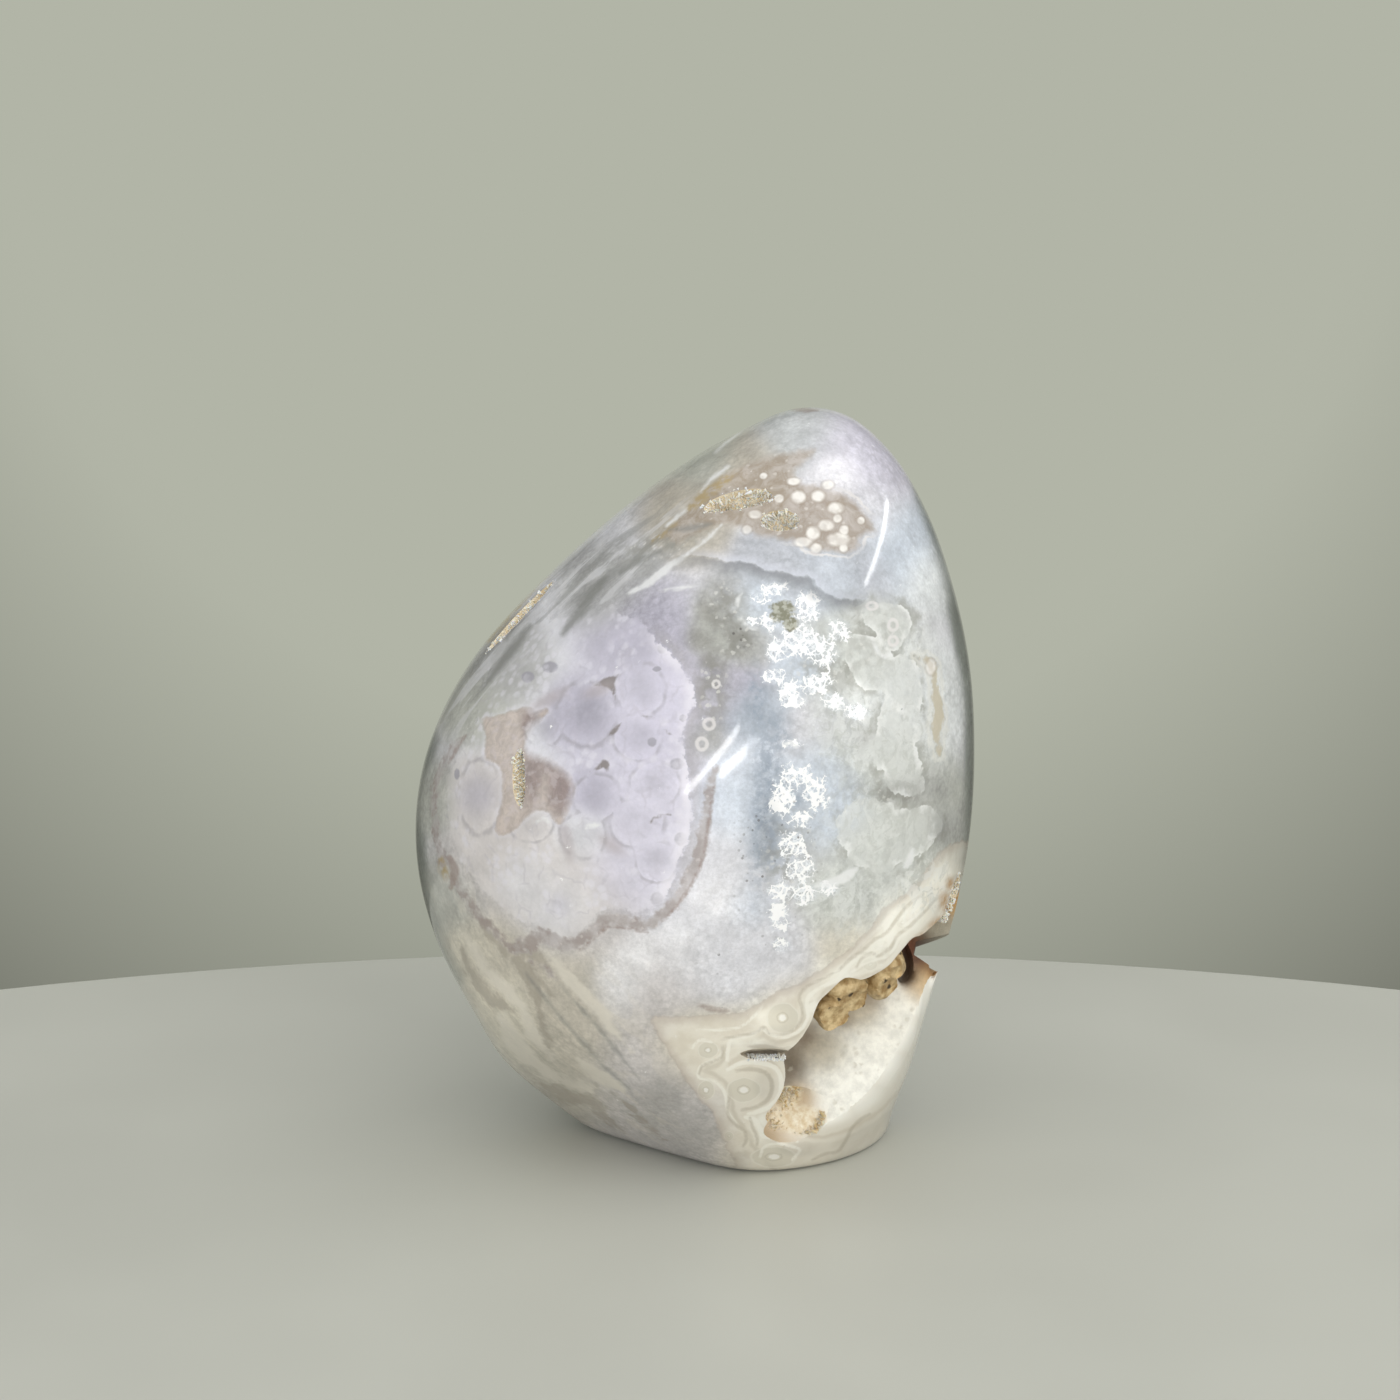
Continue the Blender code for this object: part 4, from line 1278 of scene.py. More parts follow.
CHALK = (
    (786, 690, 10, 9, 0), (791, 703, 7, 7, 0), (788, 745, 7, 2.5, 0), (796, 769, 8, 5, 0),
    (812, 780, 6, 8, 0), (817, 800, 5, 12, 0), (803, 815, 10, 5, 0), (784, 788, 5, 9, 0),
    (777, 806, 5, 9, 0), (778, 908, 8, 13, 0), (783, 926, 6, 6, 0), (790, 636, 9, 5, 10),
    (800, 650, 8, 7, 0), (808, 600, 4, 8, 10), (826, 672, 8, 4, -40), (832, 626, 6, 6, 0),
    (774, 647, 5, 5, 0), (806, 680, 8, 4, 0), (824, 692, 7, 4, 30),
)
MOSS = ((782, 612, 12, 11, -20), (790, 624, 9, 7, 20))
store_spots("lace", LACE, 14, 1.9, 2.2, -0.4)
store_spots("chalk", CHALK, 6, 1.3, 2.4, -0.9)
store_spots("moss", MOSS, 11, 5.9, 2.2, -1.3)
print(len(LACE) + len(CHALK), "spots of lace")

# %% Streaks, clouds, pepper and broken ground
RIM_SIDE = (
    (672, 652, 26, 12, 48), (694, 692, 12, 18, 0), (697, 730, 14, 36, 0), (690, 780, 12, 40, 0),
    (684, 840, 12, 32, 0), (662, 888, 20, 14, -30), (820, 552, 34, 9, 5), (858, 536, 14, 12, 0),
    (850, 500, 24, 8, 20),
)
CLOUDS = (
    (860, 720, 40, 60, 0), (905, 740, 34, 55, 5), (880, 820, 45, 50, 0), (920, 880, 30, 30, 0),
    (868, 614, 24, 18, 0), (845, 900, 35, 30, -20), (900, 650, 30, 26, 0),
)
PEPPER = (
    (768, 850, 30, 60, 10), (718, 960, 18, 12, 0), (735, 632, 16, 18, 40), (720, 1000, 24, 10, 0),
    (795, 860, 20, 60, 0), (775, 940, 16, 14, 0),
)
UPPER_STREAKS = ((600, 570, 95, 34, -40), (490, 670, 70, 26, -52), (660, 545, 40, 26, -30))
LOWER_STREAKS = (
    (520, 1010, 95, 45, 50), (600, 1040, 80, 50, 50), (470, 930, 50, 30, 60), (640, 1110, 50, 34, 40),
)
BLUE = ((766, 800, 15, 90, 4), (756, 700, 10, 30, 0), (798, 798, 8, 10, 0), (780, 735, 10, 18, 0))
BROKEN = (
    (724, 606, 20, 22, 20), (738, 640, 14, 24, 30), (712, 690, 14, 40, 0), (790, 860, 24, 44, 0),
    (870, 640, 26, 30, 0), (890, 795, 30, 12, 0), (660, 545, 40, 12, -15), (826, 672, 30, 20, 0),
)
store_spots("rim_side", RIM_SIDE, 15, 8.1, 2)
store_spots("cloud", CLOUDS, 18, 6.3, 2.2)
store_spots("pepper", PEPPER, 12, 3.7, 1.8, -0.3)
store_spots("upper_streaks", UPPER_STREAKS, 20, 8.8, 2)
store_spots("lower_streaks", LOWER_STREAKS, 20, 4.9, 2)
store_spots("blue", BLUE, 15, 2.8, 1.8, -0.3)
store_spots("broken", BROKEN, 13, 9.9, 2.2, -0.5)
print(len(CLOUDS), "clouds")

# %% Orbs, dots, rings and lobes
ORBS = (
    (779, 498.5, 5, 4.5), (798.5, 497, 7.5, 6.5), (818, 496, 7, 6), (835.5, 508, 8.5, 6),
    (837.5, 518.5, 4.5, 4.5), (826, 525.5, 8.5, 6), (813, 533, 7.5, 7), (844, 530, 5, 5),
    (838.5, 539.5, 12, 7), (843.5, 548, 4.5, 4.5), (828, 485, 6, 4.5), (803, 542, 9, 5), (861, 520.5, 4, 4),
    (755, 514.5, 7, 4.5), (747, 529.5, 5, 4.5), (763.5, 476, 4, 3.5), (793.5, 481.5, 7, 4),
    (816, 548, 6, 5), (931, 667, 5, 8),
)
DOTS = (
    (652, 742, 5, 5), (681, 839, 7, 7), (657, 899, 7, 7), (662, 649, 5, 5), (550, 667, 8, 6),
    (528, 677, 7, 6), (446, 821, 3, 8), (457, 774, 3, 6), (681, 660, 5, 4), (683, 718, 4, 4),
    (677, 764, 8, 6), (659, 631, 5, 4), (657, 669, 5, 3), (702, 608, 4, 4), (716, 632, 4, 4),
)
RINGS = (
    (709, 724, 7, 7), (702, 744, 7, 7.5), (716, 684, 5, 5), (893, 625, 6, 7), (893, 641, 6, 6),
    (872, 606, 7, 5),
)
LOBES = (
    (586, 714, 29, 31), (543, 729, 18, 17), (597, 797, 23, 22), (583, 835, 22, 22), (531, 824, 21, 17),
    (480, 797, 20, 36), (637, 737, 23, 23), (637, 823, 26, 24), (657, 862, 20, 20), (640, 690, 24, 26),
    (655, 785, 24, 22),
)
store("dots", nearest_round(DOTS), spots_behind(4.5, 3.9, -3.4, 2.6, most=ROUND_FAR))
store("orb", nearest_round(ORBS), spots_behind(3.5, 7.7, -3.4, 3.1, most=ROUND_FAR))
store("rings", nearest_round(RINGS), spots_behind(4, 5.5, -3.4, 3.3, most=ROUND_FAR))
store("lobe", nearest_round(LOBES), spots_behind(6, 0.9, -1.6, 1, most=ROUND_FAR))
print(len(ORBS), "orbs and", len(LOBES), "lobes")

# %% Places a little duller or brighter than their surroundings: partly tone, partly painted shade and painted light
DULLER = (
    (906, 792, 22, 9, 0), (928, 790, 12, 9, 0), (942, 832, 12, 16, 0), (726, 625, 14, 12, 30),
    (741, 642, 8, 10, 30), (862, 1138, 24, 10, -35), (895, 1114, 18, 9, -50), (800, 1149, 18, 6, 0),
    (765, 1047, 14, 4, 0), (446, 772, 5, 12, 0), (768, 830, 9, 26, 4), (845, 596, 18, 5, 10),
    (765, 1085, 10, 12, 0),
)
BRIGHTER = (
    (900, 920, 26, 12, -45), (640, 560, 18, 10, -20), (560, 590, 18, 10, -35), (500, 1000, 24, 20, 40),
    (600, 1100, 20, 12, 30), (925, 562, 14, 22, 0), (700, 900, 26, 20, 0), (845, 470, 26, 14, 0),
    (860, 700, 10, 20, 0), (735, 478, 14, 8, -20), (770, 1018, 14, 8, 0),
)
store("tone_and_painted_light", soft_spots(BRIGHTER) - soft_spots(DULLER))
print(len(DULLER), "duller,", len(BRIGHTER), "brighter")

# %% Colours of the crevice walls, with painted shade in their deep places
WALL_COLOUR = (190, 165, 130)
# The dark browns at the vug's top left, under the lumps and in the deep hole, and the greys under the jaw
# and in the notch, are painted shade; the ambers are stain, and the slope is white.
WALL_WASHES_AND_SHADE = (
    (850, 1075, 42, (253, 252, 244)), (895, 1030, 38, (252, 250, 240)), (925, 985, 14, (220, 190, 144)),
    (938, 970, 13, (182, 132, 74)), (800, 1098, 12, (205, 178, 140)), (790, 1068, 16, (100, 80, 54)),
    (830, 1050, 16, (186, 178, 158)), (820, 1050, 16, (196, 184, 160)), (808, 1040, 10, (120, 96, 70)),
    (870, 998, 12, (126, 98, 62)), (845, 1018, 9, (150, 126, 88)), (921, 958, 12, (88, 44, 10)),
    (913, 944, 8, (112, 58, 26)), (910, 975, 8, (96, 60, 34)), (765, 1056, 20, (226, 218, 204)),
    (945, 902, 12, (190, 152, 96)), (938, 926, 14, (164, 158, 140)), (948, 940, 12, (168, 162, 146)),
    (922, 940, 9, (96, 78, 58)), (790, 1058, 12, (112, 96, 70)), (862, 1012, 14, (206, 192, 164)),
)
PARTLY_GROWN_FROM = 1000
store_colour("wall_colour_and_shade", blended(WALL_COLOUR, WALL_WASHES_AND_SHADE))
store("grown", np.maximum(soft_spots(GROWN), places[:, 1] < PARTLY_GROWN_FROM), 1.0)
print(len(WALL_WASHES_AND_SHADE), "washes on the walls")

# %% [markdown]
# ## Materials
#
# Each finish is a Principled shader whose colour is built in layers, from the ground colour up,
# as a glaze painter works. A layer needs a share: how much of it covers what is below. Most
# shares are a distance with noise added and a narrow threshold. Bought textures would be
# quicker, but no picture has this stone's lines at this stone's places.

# %% Nodes of a finish


class Finish:
    """Builds one material's nodes, with positions in millimetres."""

    def __init__(self, name, roughness, ior=1.54):
        self.material = finishes[name]
        self.material.use_nodes = True
        self.tree = self.material.node_tree
        self.shader = self.tree.nodes["Principled BSDF"]
        self.shader.inputs["Roughness"].default_value = roughness
        self.shader.inputs["IOR"].default_value = ior
        self.object_place = self.node("TexCoord").outputs["Object"]

    def node(self, kind, settings=(), **sockets):
        made = self.tree.nodes.new("ShaderNode" + kind)
        for key, value in dict(settings).items():
            setattr(made, key, value)
        for key, value in sockets.items():
            socket = made.inputs[int(key[1:]) if key[1:].isdigit() else key]
            if isinstance(value, bpy.types.NodeSocket):
                self.tree.links.new(value, socket)
            else:
                socket.default_value = value
        return made

    def maths(self, operation, a, b=0.0, c=0.0):
        return self.node("Math", {"operation": operation}, _0=a, _1=b, _2=c).outputs[0]

    def stored(self, name, output="Fac"):
        return self.node("Attribute", {"attribute_name": name}).outputs[output]

    def grain(self, size, detail=2.0, rough=0.5, distortion=0.0, run=None, long=1.0):
        """Noise, 0 to 1, with bumps of a size in millimetres, drawn out along a run if one is given."""
        place = self.object_place
        if run:
            turn = Vector(run).to_track_quat("X", "Z").inverted().to_euler()
            place = self.node("Mapping", _0=place, Rotation=turn).outputs[0]
            place = self.node("Mapping", _0=place, Scale=(1 / long, 1, 1)).outputs[0]
        return self.node("TexNoise", _0=place, Scale=1 / (size * MM), Detail=detail, Roughness=rough,
                         Distortion=distortion).outputs[0]

    def cells(self, size, ragged=0.0, feature="F1"):
        """Distance to the cells' middles or edges, for cells of a size in millimetres."""
        place = self.object_place
        if ragged:
            shake = self.node("TexNoise", _0=place, Scale=1 / (size * 0.5 * MM), Detail=2.0).outputs["Color"]
            shake = self.node("VectorMath", {"operation": "SCALE"}, _0=shake, Scale=ragged * MM).outputs[0]
            place = self.node("VectorMath", {"operation": "ADD"}, _0=place, _1=shake).outputs[0]
        made = self.node("TexVoronoi", {"feature": feature}, _0=place, Scale=1 / (size * MM))
        return made.outputs["Distance"]

    def edge(self, name, *waves):
        """A stored distance with noise added. A wave is a size and a height in mm, and then its fineness."""
        distance = self.stored(name)
        for size, height, *fineness in waves:
            wave = self.maths("MULTIPLY_ADD", self.grain(size, *fineness), height * 2, -height)
            distance = self.maths("ADD", distance, wave)
        return distance

    def ramp(self, value, start, end, low=0.0, high=1.0):
        """Turns a value between start and end smoothly into one between low and high."""
        return self.node("MapRange", {"interpolation_type": "SMOOTHSTEP"}, Value=value, _1=start, _2=end,
                         _3=low, _4=high).outputs[0]

    def times(self, *shares):
        product = shares[0]
        for share in shares[1:]:
            product = self.maths("MULTIPLY", product, share)
        return product

    def finish(self, coat, bump=None, bump_mm=0.05):
        self.tree.links.new(coat.colour, self.shader.inputs["Base Color"])
        if bump is not None:
            made = self.node("Bump", Strength=1.0, Distance=bump_mm * MM, Height=bump)
            self.tree.links.new(made.outputs[0], self.shader.inputs["Normal"])

    def soften(self, weight, radius_mm):
        """Lets light into the stone, this far in red, green and blue."""
        self.shader.inputs["Subsurface Weight"].default_value = weight
        self.shader.inputs["Subsurface Radius"].default_value = [value * MM for value in radius_mm]
        self.shader.inputs["Subsurface Scale"].default_value = 1.0


print("nodes ready")

# %% A colour that grows layer by layer


class Coat:
    """One colour of a finish, given as a socket, as red, green and blue, or as another coat."""

    def __init__(self, finish, colour):
        self.finish = finish
        self.colour = self.socket(colour)

    def socket(self, colour):
        if isinstance(colour, Coat):
            return colour.colour
        return srgb(*colour) if isinstance(colour, tuple) else colour

    def lay(self, colour, *shares):
        """Covers what is there with a colour, by the product of the shares."""
        self.colour = self.finish.node("Mix", {"data_type": "RGBA"}, _0=self.finish.times(*shares),
                                       _6=self.colour, _7=self.socket(colour)).outputs[2]

    def shade(self, amount):
        """Brightens or darkens what is there by a factor."""
        self.colour = self.finish.node("Mix", {"data_type": "RGBA", "blend_type": "MULTIPLY"}, _0=1.0,
                                       _6=self.colour, _7=amount).outputs[2]

    def shaded(self, amount):
        copy = Coat(self.finish, self.colour)
        copy.shade(amount)
        return copy


def mixed(finish, dark, pale, share):
    """A new coat of two colours."""
    coat = Coat(finish, dark)
    coat.lay(pale, share)
    return coat


print("coats ready")

# %% [markdown]
# ## Polished agate
#
# The skin of the stone is chalcedony, cloudy and milky a few millimetres deep, under a polish as
# smooth as glass. Bands modelled inside a clear stone would be truer, but slow to render and
# noisy. So the ground comes first, clouds and streaks over the washes, then the flower, the
# crown, the bands, the lace and the veins, each over the last, and at the end a little light let
# in below the surface, which makes agate look like agate and not like paint.

# %% Polished agate: a cloudy ground
polish = Finish("agate_polish", roughness=0.08)
ramp, grain, cells = polish.ramp, polish.grain, polish.cells
edge, stored = polish.edge, polish.stored
BORDERS = "DISTANCE_TO_EDGE"
ground = Coat(polish, stored("tone", "Color"))
ground.shade(ramp(grain(6, 4, 0.6, 0.4), 0.32, 0.70, 0.93, 1.05))
ground.shade(ramp(grain(1.9, 3, 0.6, 0.5), 0.32, 0.68, 0.95, 1.04))
ground.shade(ramp(grain(0.5, 3, 0.7), 0.30, 0.72, 0.90, 1.06))
ground.shade(ramp(cells(2.6, 1.6), 0.20, 0.85, 1.045, 0.935))
curdled = ramp(grain(7), 0.42, 0.6)
ground.lay(ground.shaded(ramp(cells(0.9, 0.7), 0.25, 0.8, 1.06, 0.91)), curdled)
print("ground laid")

# %% Polished agate: streaks, flows and broken ground
UPPER_RUN = (-0.63, 0.0, -0.78)
LOWER_RUN = (0.64, 0.0, -0.77)
upper = stored("upper_streaks")
streak = grain(3.4, 4, 0.55, 0.8, UPPER_RUN, 6)
ground.lay((146, 147, 145), upper, ramp(streak, 0.51, 0.61, 0, 0.50))
ground.lay((224, 224, 228), upper, ramp(streak, 0.46, 0.38, 0, 0.60))
lower = stored("lower_streaks")
streak = grain(5, 4, 0.55, 1.6, LOWER_RUN, 3.2)
ground.lay((160, 155, 146), lower, ramp(streak, 0.51, 0.60, 0, 0.16))
ground.lay((228, 220, 204), lower, ramp(streak, 0.47, 0.39, 0, 0.25))
ground.lay((226, 220, 208), ramp(edge("pale_flow", (5, 1.2), (1.6, 0.8)), 0.5, -0.5, 0, 0.72))
ground.lay((166, 158, 146), ramp(edge("flow", (5, 0.8), (1.8, 0.9), (0.6, 0.3)), 0.35, -0.35, 0, 0.66))
ground.lay((154, 164, 178), stored("blue"), ramp(grain(1.3, 4, 0.7), 0.36, 0.62, 0.12, 0.9))
broken = stored("broken")
ground.lay((146, 145, 138), broken, ramp(cells(1.5, 1.2), 0.26, 0.72), 0.65)
ground.lay((222, 221, 217), broken, ramp(cells(1.1, 0.6), 0.30, 0.18), 0.6)
print("streaks and flows painted")

# %% Polished agate: the lobes of the flower
lobe = edge("lobe", (2, 0.10), (0.6, 0.05))
petal = Coat(polish, ground)
petal.lay(stored("tone", "Color"), 0.6)
petal.shade(ramp(lobe, 0.2, 0.98, 0.91, 1.06))
petal.shade(ramp(cells(4.2, 2), 0.2, 0.8, 0.99, 1.08))
seam = polish.times(ramp(cells(4.2, 2, BORDERS), 0.07, 0), ramp(grain(2.4), 0.45, 0.6))
petal.lay((176, 172, 182), seam, 0.26)
petal.lay((150, 146, 152), ramp(lobe, 0.94, 1.04), ramp(lobe, 1.22, 1.06),
          ramp(grain(3), 0.38, 0.6, 0, 0.42))
petal.lay((160, 158, 168), ramp(edge("dots", (1, 0.10)), 1.15, 0.75, 0, 0.8))
curds = polish.times(ramp(cells(1.3, 0.7), 0.62, 0.2), ramp(grain(5), 0.42, 0.58),
                     ramp(lobe, 0.75, 1.1, 0.15, 1))
petal.lay((234, 232, 242), curds, 0.42)
petal.lay((126, 118, 112), ramp(edge("interstice", (0.8, 0.20)), 0.16, -0.20, 0, 0.8))
petal.lay((176, 166, 168), stored("blush"), 0.55)
print("lobes painted")

# %% Polished agate: the outline of the flower
flower = edge("flower", (5, 0.5), (2.2, 0.8), (0.9, 0.7), (0.35, 0.3))
ground.lay(petal, ramp(flower, 0.15, -0.4))
side = stored("rim_side")
rim = polish.times(ramp(flower, -2.6, -0.3), ramp(flower, 0.15, -0.1), side)
ground.lay((240, 237, 246), rim, 0.75)
ground.lay((160, 156, 152), ramp(flower, 0, 0.5), ramp(flower, 2.6, 0.8), side, 0.35)
print("flower painted")

# %% Polished agate: the taupe crown
taupe = edge("taupe", (3, 0.6), (0.9, 0.40), (0.3, 0.16))
crown = mixed(polish, (160, 146, 130), (191, 182, 175), ramp(grain(2.6, 5, 0.65, 0.6), 0.35, 0.66))
crown.lay((146, 128, 108), ramp(grain(0.9, 4, 0.6), 0.56, 0.70, 0, 0.5))
crown.lay((226, 220, 214), ramp(cells(1.6, 0.5), 0.20, 0.08, 0, 0.5))
ground.lay(crown, ramp(taupe, 0.25, -1, 0, 0.85))
ground.lay((232, 228, 226), ramp(taupe, -0.1, 0.15), ramp(taupe, 0.6, 0.3), side, 0.7)
print("crown painted")

# %% Polished agate: cream bands and their eyes


def ribbon(distance, place, half_width, soft=0.08):
    """The share of a line that runs at a distance from an outline."""
    off = polish.maths("ABSOLUTE", polish.maths("SUBTRACT", distance, place))
    return ramp(off, half_width + soft, half_width - soft)


chalk = mixed(polish, (226, 218, 202), (247, 242, 230), ramp(grain(2.5, 5, 0.6), 0.35, 0.65))
chalk.lay(stored("tone", "Color"), 0.5)
rib = edge("band", (2.4, 0.30), (0.7, 0.12))
chalk.lay((232, 226, 212), ramp(rib, 0.2, -0.2, 0, 0.5))
chalk.lay((196, 187, 170), ribbon(rib, -0.75, 0.3, 0.25), 0.5)
rib = edge("inner_band", (2.4, 0.25), (0.7, 0.10))
chalk.lay((236, 231, 219), ramp(rib, 0.1, -0.3, 0, 0.5))
chalk.lay((202, 191, 172), ribbon(rib, -0.9, 0.25, 0.25), 0.5)
eye = edge("eyes", (1.6, 0.10), (0.6, 0.05))
chalk.lay((216, 211, 196), ramp(eye, 1.05, 0.85, 0, 0.7))
chalk.lay((240, 236, 225), ribbon(eye, 0.93, 0.05, 0.05), 0.55)
chalk.lay((170, 162, 146), ribbon(eye, 0.34, 0.03, 0.04), 0.35)
chalk.lay((250, 248, 243), ramp(eye, 0.28, 0.18, 0, 0.8))
chalk.lay((250, 248, 238), stored("ivory_band"), ramp(grain(1.6, 4), 0.35, 0.6, 0.45, 0.85))
chalk.lay((248, 245, 235), ramp(edge("pale_line", (1.4, 0.10), (0.5, 0.07)), 0.16, -0.10, 0, 0.85))
chalk.lay((176, 166, 148), ramp(edge("grey_line", (1.4, 0.10), (0.5, 0.07)), 0.22, -0.14, 0, 0.50))
# Near white where the lit slope rounds onto the skin: painted light.
chalk.lay((250, 248, 240), stored("slope_painted_light"), 0.95)
cream = edge("cream", (4, 0.8), (0.9, 0.3), (0.3, 0.1))
ground.lay(chalk, ramp(cream, 0.20, -0.25, 0, 0.94))
ground.lay((182, 168, 156), ramp(cream, -1.4, 0), ramp(cream, 0.35, 0.10), 0.42)
print("bands painted")

# %% Polished agate: clouds, plates and the tan slit
cloud = stored("cloud")
ground.lay((232, 234, 232), cloud, ramp(grain(4, 4, 0.55, 1.5), 0.47, 0.53), 0.45)
ground.lay((172, 175, 168), cloud, ramp(grain(1.8, 4, 0.6, 1.2), 0.52, 0.60), 0.40)
plate = edge("plate", (4.5, 1.3), (1.5, 0.8), (0.5, 0.35))
patchy = ramp(grain(3.2), 0.40, 0.60)
ground.lay((158, 158, 150), ramp(plate, -0.1, 0.15), ramp(plate, 1.5, 0.2), patchy, 0.62)
ground.lay((216, 218, 214), ramp(plate, 0.1, -0.1, 0, 0.40))
ground.lay((243, 244, 243), ramp(plate, 0.05, -0.1), ramp(plate, -1.1, -0.15), patchy, 0.7)
slit = edge("tan_slit", (2.4, 0.9), (0.8, 0.5), (0.3, 0.2))
ground.lay((234, 233, 226), ramp(slit, 1, 0.4), ramp(slit, 0, 0.3), 0.5)
ground.lay((200, 190, 166), ramp(slit, 0.2, -0.4, 0, 0.80))
print("clouds painted")

# %% Polished agate: lace and moss
lace = edge("lace", (2, 1.2, 4, 0.6))
clots = edge("chalk", (0.8, 1, 4, 0.65))
thick = polish.maths("ADD", ramp(lace, 0.12, 1.1, -0.05, 0.13), ramp(clots, 0.40, 0.90, 0, 0.11))
net = polish.maths("SUBTRACT", cells(1.2, 0.9, BORDERS), thick)
fine_net = polish.maths("SUBTRACT", cells(0.6, 0.7, BORDERS), ramp(lace, 0.25, 1.1, -0.07, 0.11))
ground.lay((206, 213, 223), ramp(stored("lace"), 0.2, 0.9, 0, 0.30))
ground.lay((150, 152, 156), stored("lace"), ramp(cells(1.15, 1.5), 0.30, 0.12, 0, 0.35))
ground.lay((240, 243, 247), ramp(fine_net, 0.05, -0.03), ramp(lace, 0.1, 0.6), 0.85)
ground.lay((254, 254, 255), ramp(net, 0.02, -0.02), 0.97)
moss = mixed(polish, (124, 122, 96), (182, 182, 168), ramp(grain(0.6, 3), 0.40, 0.64))
ground.lay(moss, ramp(edge("moss", (0.9, 0.8, 4, 0.6)), 0.35, 0.75, 0, 0.88))
print("lace painted")

# %% Polished agate: white lines, orbs and rings
# White lines of the stone, with painted highlights among them.
ground.lay((240, 241, 242), ramp(edge("white_line", (1.6, 0.3), (0.5, 0.2)), 0.30, -0.25, 0, 0.75))
orb = edge("orb", (0.7, 0.14))
ground.lay((160, 146, 132), ramp(orb, 1.5, 1.1), 0.25)
ground.lay((244, 241, 237), ramp(orb, 1.18, 0.62), ramp(grain(1.6), 0.35, 0.62, 0.55, 0.95))
ring = edge("rings", (1, 0.12))
ground.lay((236, 232, 232), ramp(ring, 1.15, 0.85), ramp(ring, 0.35, 0.65), 0.65)
print("orbs painted")

# %% Polished agate: veins and the brown patch
inner = mixed(polish, (160, 148, 144), (190, 184, 184), ramp(grain(2.2, 4, 0.55), 0.36, 0.64))
inner.lay((208, 200, 198), ramp(cells(1.3, 0.6), 0.24, 0.12, 0, 0.6))
ground.lay(inner, ramp(edge("vein", (2.4, 0.6), (1.1, 0.7), (0.4, 0.35)), 0.30, -0.50, 0, 0.78))
brown = edge("brown", (2, 0.30), (0.7, 0.22), (0.25, 0.10))
patch = mixed(polish, (200, 188, 180), (152, 136, 131), ramp(edge("deep_brown", (2, 0.4, 4)), 0, 1.1))
patch.shade(ramp(grain(1.4, 4, 0.65, 0.8), 0.34, 0.66, 0.84, 1.10))
patch.lay((206, 196, 198), ramp(grain(1.1, 3), 0.5, 0.66, 0, 0.40))
ground.lay((226, 223, 232), ramp(brown, 0.7, 0.2), ramp(brown, 0, 0.2), 0.25)
soft = ramp(stored("deep_brown"), 0.2, 0.9, 0.30, 1)
ground.lay(patch, ramp(polish.maths("DIVIDE", brown, soft), 0.9, -1.1, 0, 0.88))
ground.lay((150, 132, 120), ramp(brown, 0.15, -0.1), ramp(brown, -0.5, -0.2), ramp(soft, 0.5, 0.2, 0, 0.18))
print("veins painted")

# %% Polished agate: gold, amber and rust
gold = edge("gold", (1.4, 0.35), (0.4, 0.20))
ground.lay((176, 156, 112), ramp(gold, 0.4, -0.5), ramp(grain(0.9, 4), 0.32, 0.62, 0.15, 0.85))
ground.lay((176, 134, 78), stored("amber"), ramp(grain(0.8, 4), 0.3, 0.6, 0.5, 0.95))
ground.lay((148, 128, 120), ramp(edge("rust", (1.2, 0.22), (0.4, 0.14)), 0.25, -0.25, 0, 0.6))
print("warm colours painted")

# %% Polished agate: dark lines, pepper and the polish itself
ground.lay((132, 133, 130), ramp(edge("dark_line", (2.4, 0.4), (0.7, 0.2)), 0.45, -0.45, 0, 0.7))
cap = edge("cap", (2.6, 0.5), (0.9, 0.30), (0.3, 0.12))
cap_shade = stored("cap_shade")
ground.lay((124, 126, 130), ramp(cap, -0.12, 0.35), ramp(cap, 2.9, 0.3), cap_shade, 0.68)
ground.lay((218, 220, 232), ramp(cap, -1.6, -0.1), ramp(cap, 0.1, -0.05), cap_shade, 0.45)
pepper = polish.times(ramp(cells(0.9), 0.26, 0.14), stored("pepper"), ramp(grain(2), 0.46, 0.58))
ground.lay((104, 100, 98), pepper, 0.8)
# Brightens or darkens the spots listed above: partly the stone's tone, partly painted light and shade, as on
# the lower jaw and the cap.
ground.shade(ramp(stored("tone_and_painted_light"), -1, 1, 0.86, 1.14))
polish.soften(0.12, (1.6, 1.4, 1.2))
polish.finish(ground, bump=grain(3), bump_mm=0.006)
print("agate_polish:", len(polish.tree.nodes), "nodes")

# %% [markdown]
# ## Wall of the crevice
#
# The wall is white chalcedony that no wheel touched, dull as chalk, stained brown where water
# stood, with painted shade in its deepest corners, under the jaw and in the notch. Its colour
# could be painted on the mesh by hand, but soft round washes like those of the skin do it, with a
# grain over them and a bump of a tenth of a millimetre, finer than the mesh can hold.

# %% Wall of the crevice
wall = Finish("crevice_wall", roughness=0.62)
colour = Coat(wall, wall.stored("wall_colour_and_shade", "Color"))
colour.shade(wall.ramp(wall.grain(1.6, 5, 0.65), 0.3, 0.7, 0.82, 1.06))
spots = wall.times(wall.ramp(wall.cells(1.5, 0.8), 0.34, 0.14), wall.ramp(wall.grain(3), 0.45, 0.6))
colour.lay((196, 190, 174), spots, 0.5)
wall.finish(colour, bump=wall.grain(0.7, 5, 0.65), bump_mm=0.10)
print("crevice_wall:", len(wall.tree.nodes), "nodes")

# %% [markdown]
# ## Ochre lumps
#
# Knobs of golden brown chalcedony hang from the jaw, with dark pits. The pits could be cut into
# the mesh, but they are about half a millimetre wide, so cells of noise give them depth, and
# near black painted into them stands for their shade.

# %% Ochre lumps
lump = Finish("ochre_lump", roughness=0.45)
colour = mixed(lump, (150, 118, 70), (222, 198, 152), lump.ramp(lump.grain(1.4, 5, 0.6), 0.3, 0.7))
